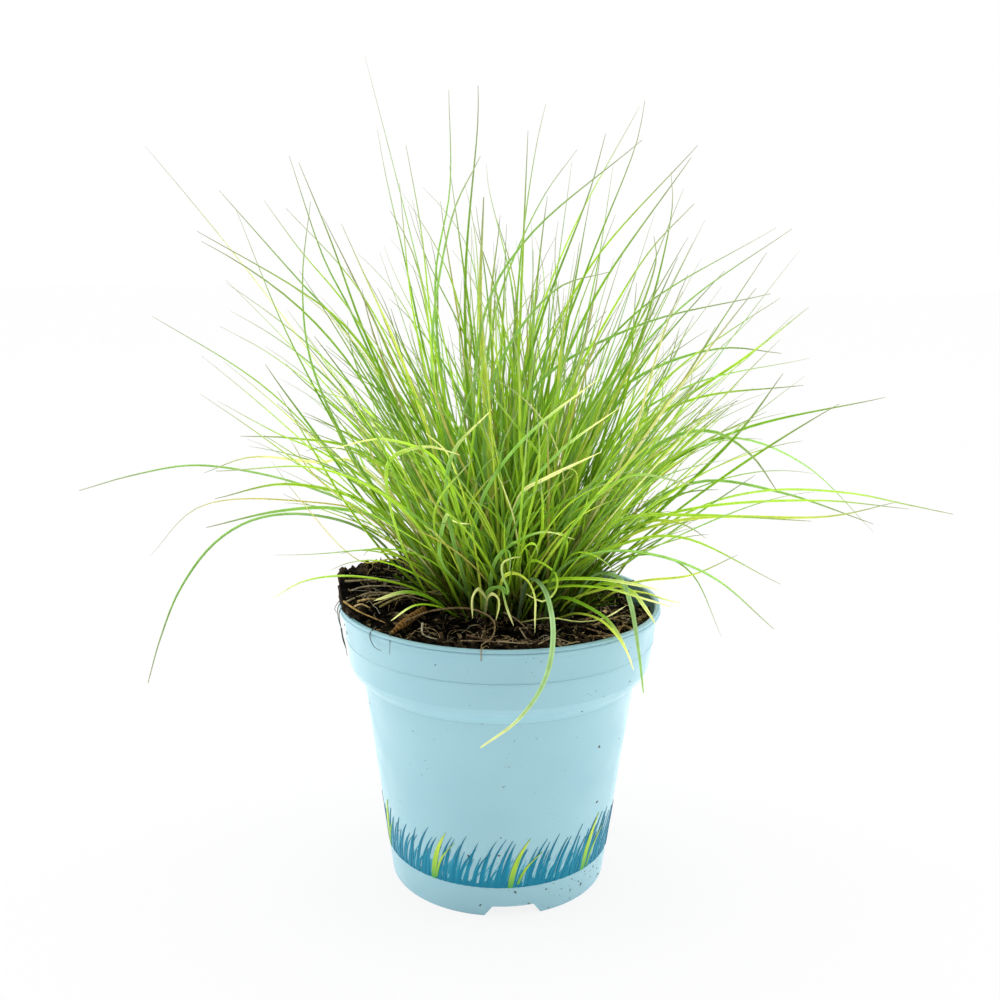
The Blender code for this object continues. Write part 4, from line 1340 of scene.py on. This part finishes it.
SIDE_LEAVES = [
    (1.1, PALE, (-20, -6), (-37, -8, 144), (-55, -5, 160), (-66, -4, 159), (-92, 0, 160),
     (-109, 0, 154)),
    (1.2, FRESH, (-22, -8), (-37, -10, 135), (-50, -14, 147), (-76, -20, 154), (-100, -22, 149)),
    (0.6, STRAW, (-22, -8), (-44, -10, 139), (-70, -25, 149), (-101, -40, 150), (-117, -44, 134)),
    (1.2, BLUE, (-20, -14), (-36, -20, 138), (-56, -28, 147), (-76, -32, 147), (-100, -36, 142)),
    (1.1, FRESH, (-20, 0), (-30, 0, 137), (-53, 8, 161), (-79, 14, 165), (-99, 18, 165)),
    (1.0, FRESH, (-20, -2), (-33, -4, 138), (-62, -8, 162), (-79, -10, 170), (-100, -12, 182)),
    (1.0, GREEN, (-16, -10), (-26, -14, 133), (-37, -30, 161), (-57, -40, 173), (-66, -45, 177)),
    (0.6, STRAW, (-18, -12), (-36, -18, 126), (-49, -30, 129), (-67, -42, 153), (-75, -48, 167)),
    (1.1, FRESH, (-20, -8), (-36, -14, 121), (-52, -30, 147), (-66, -44, 177), (-72, -50, 190)),
    (1.0, FRESH, (-16, -16), (-22, -20, 116), (-42, -30, 129), (-52, -36, 130), (-58, -38, 128)),
    (1.4, BLUE, (18, -12), (21, -15, 126), (35, -20, 152), (48, -22, 165), (61, -24, 173),
     (73, -24, 174), (86, -24, 166), (96, -24, 153)),
    (1.2, BLUE, (22, 0), (26, 0, 122), (52, 4, 152), (70, 6, 163), (88, 8, 167), (116, 12, 156),
     (144, 12, 130)),
    (1.1, FRESH, (22, -4), (29, -8, 124), (50, -14, 139), (70, -18, 146), (111, -24, 150),
     (141, -28, 148)),
    (1.1, YELLOW, (22, -10), (29, -14, 122), (49, -24, 139), (68, -30, 145), (110, -40, 148),
     (131, -44, 154)),
    (1.2, FRESH, (18, -16), (21, -20, 123), (40, -34, 145), (65, -44, 149), (100, -52, 149)),
    (1.2, BLUE, (26, 4), (34, 5, 120), (52, 5, 140), (75, 5, 151), (105, 5, 147), (141, 5, 135)),
    (1.1, GREEN, (24, 0), (30, 0, 122), (59, 5, 155), (89, 8, 170), (145, 14, 182)),
    (1.1, FRESH, (20, 5), (23, 5, 120), (45, 12, 162), (68, 16, 180), (91, 20, 195), (124, 50, 214)),
    (1.2, BLUE, (16, 6), (19, 8, 119), (34, 16, 172), (53, 20, 189), (84, 26, 199), (109, 30, 197)),
    (1.1, GREEN, (20, 2), (23, 4, 121), (45, 10, 169), (71, 14, 186), (117, 20, 196)),
    (1.1, FRESH, (22, -4), (26, -4, 123), (43, -6, 168), (67, -8, 183), (106, -12, 189)),
    (1.2, GREEN, (26, -12), (36, -14, 125), (52, -24, 143), (79, -36, 176), (90, -44, 196)),
    (1.1, FRESH, (18, -18), (21, -22, 120), (40, -40, 138), (58, -50, 143), (89, -60, 130)),
    (1.0, YELLOW, (20, -20), (24, -24, 113), (47, -40, 125), (63, -46, 129), (77, -50, 137)),
    (0.7, GREEN, (22, -18), (25, -20, 116), (41, -30, 130), (54, -36, 133), (64, -40, 128),
     (75, -42, 106)),
]
FRONT_LEAVES = [
    (1.4, BLUE, (-8, -20), (-11, -22, 113), (-14, -30, 126), (-18, -38, 145), (-19, -42, 157),
     (-16, -48, 171), (-4, -54, 185)),
    (1.4, BLUE, (-8, -18), (-11, -20, 116), (-8, -36, 149), (-1, -44, 165), (11, -52, 180),
     (29, -62, 196)),
    (1.4, BLUE, (0, -20), (0, -22, 116), (4, -38, 149), (18, -50, 171), (36, -60, 187)),
    (1.2, PALE, (0, -20), (0, -22, 124), (6, -40, 155), (13, -50, 162), (30, -62, 173)),
    (1.0, PALE, (7, -22), (7, -24, 117), (4, -38, 145), (1, -42, 155), (-2, -46, 163)),
    (1.3, BLUE, (-10, -20), (-11, -22, 113), (-21, -32, 130), (-20, -40, 144), (-18, -44, 149),
     (-16, -47, 147), (-11, -50, 147)),
    (1.1, YELLOW, (-10, -20), (-11, -22, 113), (-18, -34, 134), (-22, -40, 141), (-26, -44, 145)),
    (1.3, YELLOW, (-7, -20), (-7, -22, 113), (-11, -36, 145), (-16, -44, 164), (-19, -48, 171),
     (-25, -52, 177)),
    (1.4, BLUE, (-3, -22), (-4, -24, 113), (-2, -34, 131), (6, -42, 140), (14, -48, 144),
     (23, -54, 143)),
    (1.0, FRESH, (9, -22), (10, -24, 113), (10, -36, 131), (14, -40, 131), (18, -43, 128),
     (18, -44, 123), (14, -44, 119), (8, -42, 121)),
    (1.4, FRESH, (-22, -14), (-25, -18, 111), (-35, -30, 136), (-39, -38, 159), (-37, -42, 167),
     (-25, -48, 172), (-14, -52, 170)),
    (1.3, FRESH, (-10, -18), (-11, -20, 112), (-13, -30, 137), (-18, -38, 159), (-24, -44, 169),
     (-39, -52, 175), (-54, -60, 173)),
]
BASE_CURLS = [
    (1.3, PALE, (-6, -23), (-5, -27, 114), (-6, -30, 117), (-8, -33, 120), (-10, -36, 118),
     (-10, -38, 111)),
    (1.1, PALE, (-6, -24), (-5, -28, 115), (-3, -32, 118), (-1, -36, 117), (-1, -38, 115),
     (-2, -40, 111)),
    (1.4, BLUE, (-6, -22), (-3, -30, 119), (0, -35, 121), (2, -38, 120), (2, -40, 122), (0, -42, 128),
     (0, -43, 132), (3, -44, 134), (6, -46, 135)),
    (1.2, BLUE, (-7, -24), (-5, -30, 118), (-2, -34, 121), (0, -37, 121), (1, -40, 118), (2, -42, 115),
     (4, -43, 110)),
    (1.3, YELLOW, (-2, -23), (1, -34, 125), (5, -38, 127), (9, -42, 125), (11, -45, 120),
     (11, -46, 116), (11, -47, 109)),
    (1.4, FRESH, (7, -23), (13, -34, 122), (29, -44, 127), (45, -52, 127), (51, -54, 126)),
    (1.4, FRESH, (7, -24), (15, -34, 120), (33, -44, 124), (45, -52, 123), (55, -56, 121)),
    (1.3, GREEN, (14, -24), (20, -30, 116), (30, -38, 115), (37, -44, 111), (43, -54, 101)),
    (1.3, FRESH, (21, -18), (34, -30, 121), (44, -38, 121), (48, -42, 117), (52, -44, 111)),
    (0.9, PALE, (7, -25), (17, -34, 110), (27, -38, 110), (35, -40, 112), (42, -42, 117)),
    (1.1, GREEN, (-16, -20), (-24, -26, 114), (-33, -30, 118), (-44, -34, 116)),
    (1.1, FRESH, (-14, -21), (-22, -28, 112), (-30, -33, 114), (-38, -38, 110)),
]


# Name, leaves, colour of the ends, where the taper starts and where the dry end starts
LEAF_GROUPS = [
    ("tall_leaves", TALL_LEAVES, DRY_TIP, 0.45, 0.66),
    ("side_leaves", SIDE_LEAVES, DRY_TIP, 0.66, 0.72),
    ("front_leaves", FRONT_LEAVES, PALE, 0.8, 0.7),
    ("base_curls", BASE_CURLS, PALE, 0.88, 0.6),
]


def make_single_leaves(finish, chance):
    for name, (width, colour, tip, *stops) in SINGLE_LEAVES.items():
        route = spline([np.array(stop) * MM for stop in stops], SINGLE_STATIONS)
        widths = leaf_widths(width * MM, SINGLE_STATIONS, 0.62, 0.28)
        tints = leaf_tints(colour, SINGLE_STATIONS, tip)
        strands = Strands(LEAF_SECTION, LEAF_PAINTED_SHADING)
        strands.add(route, widths, tints, (0.0, 0.0, 1.0), twist=chance.gauss(0.0, 0.5))
        keep(strands.build(name + "_blade", finish), "leaf", name)


def make_leaf_groups(finish, chance):
    for name, leaves, tip, taper_from, dry_from in LEAF_GROUPS:
        strands = Strands(LEAF_SECTION, LEAF_PAINTED_SHADING)
        for width, colour, root, *stops in leaves:
            x, y = np.array(root) * MM
            points = [(x, y, compost_top(x, y) + ROOT_LIFT)]
            points += [np.array(stop) * MM for stop in stops]
            shade = colour * chance.uniform(0.9, 1.2)
            strands.add(spline(points, GROUP_STATIONS),
                        leaf_widths(width * MM, GROUP_STATIONS, taper_from),
                        leaf_tints(shade, GROUP_STATIONS, tip, dry_from), (-0.2, -0.5, 0.8),
                        twist=chance.gauss(0.0, 0.8))
        keep(strands.build(name, finish), "leaf")


# --- Crown --------------------------------------------------------------------------

SHEATHS = 460
SHEATH_STEPS = 7


def make_crown(finish):
    """Old leaf bases, short and dense, that fill the foot of the clump, darkened as painted shade."""
    chance = random.Random(17)
    strands = Strands(ROUND_SECTION)
    for _ in range(SHEATHS):
        around = chance.uniform(0.0, 2 * math.pi)
        share = math.sqrt(chance.random())
        out = np.array((math.cos(around), math.sin(around)))
        x, y = CROWN_CENTRE + out * CROWN_RADII * share
        lean = math.radians(50.0) * share + chance.gauss(0.0, 0.12)
        length = chance.uniform(7.0, 24.0) * MM
        heading = around + chance.gauss(0, 0.3)
        lean_tip = lean + chance.gauss(0.1, 0.3)
        route = grown_route((x, y, compost_top(x, y) - 1.0 * MM), heading, lean, lean_tip, length,
                            0.0, 1.0, SHEATH_STEPS)
        # Painted shade: straw and green darkened far below their own colour, for the dark gaps at the
        # clump's foot
        colour = STRAW * chance.uniform(0.1, 0.4)
        if chance.random() < 0.5:
            colour = GREEN * chance.uniform(0.15, 0.5)
        widths = np.linspace(0.7, 0.25, SHEATH_STEPS) * MM
        strands.add(route, widths, [colour] * SHEATH_STEPS, (0.3, 0.2, 1.0))
    keep(strands.build("crown_sheaths", finish), "crown", "crown")


make_camera()
make_stage()
make_pot()
make_print()
peat = tinted_material("peat", 0.95, 0.06, 800.0, (0.34, 0.30, 0.26))
make_compost(peat)
make_crumbs(peat)
make_chips(peat)
make_fibres(peat)
make_litter(peat)
make_specks()
make_bark()
make_crown(peat)
leaf_finish = tinted_material("leaf", 0.40, 0.24, 260.0, (0.78, 0.82, 0.66))
make_tufts(leaf_finish)
single_chance = random.Random(8)
make_single_leaves(leaf_finish, single_chance)
make_leaf_groups(leaf_finish, single_chance)
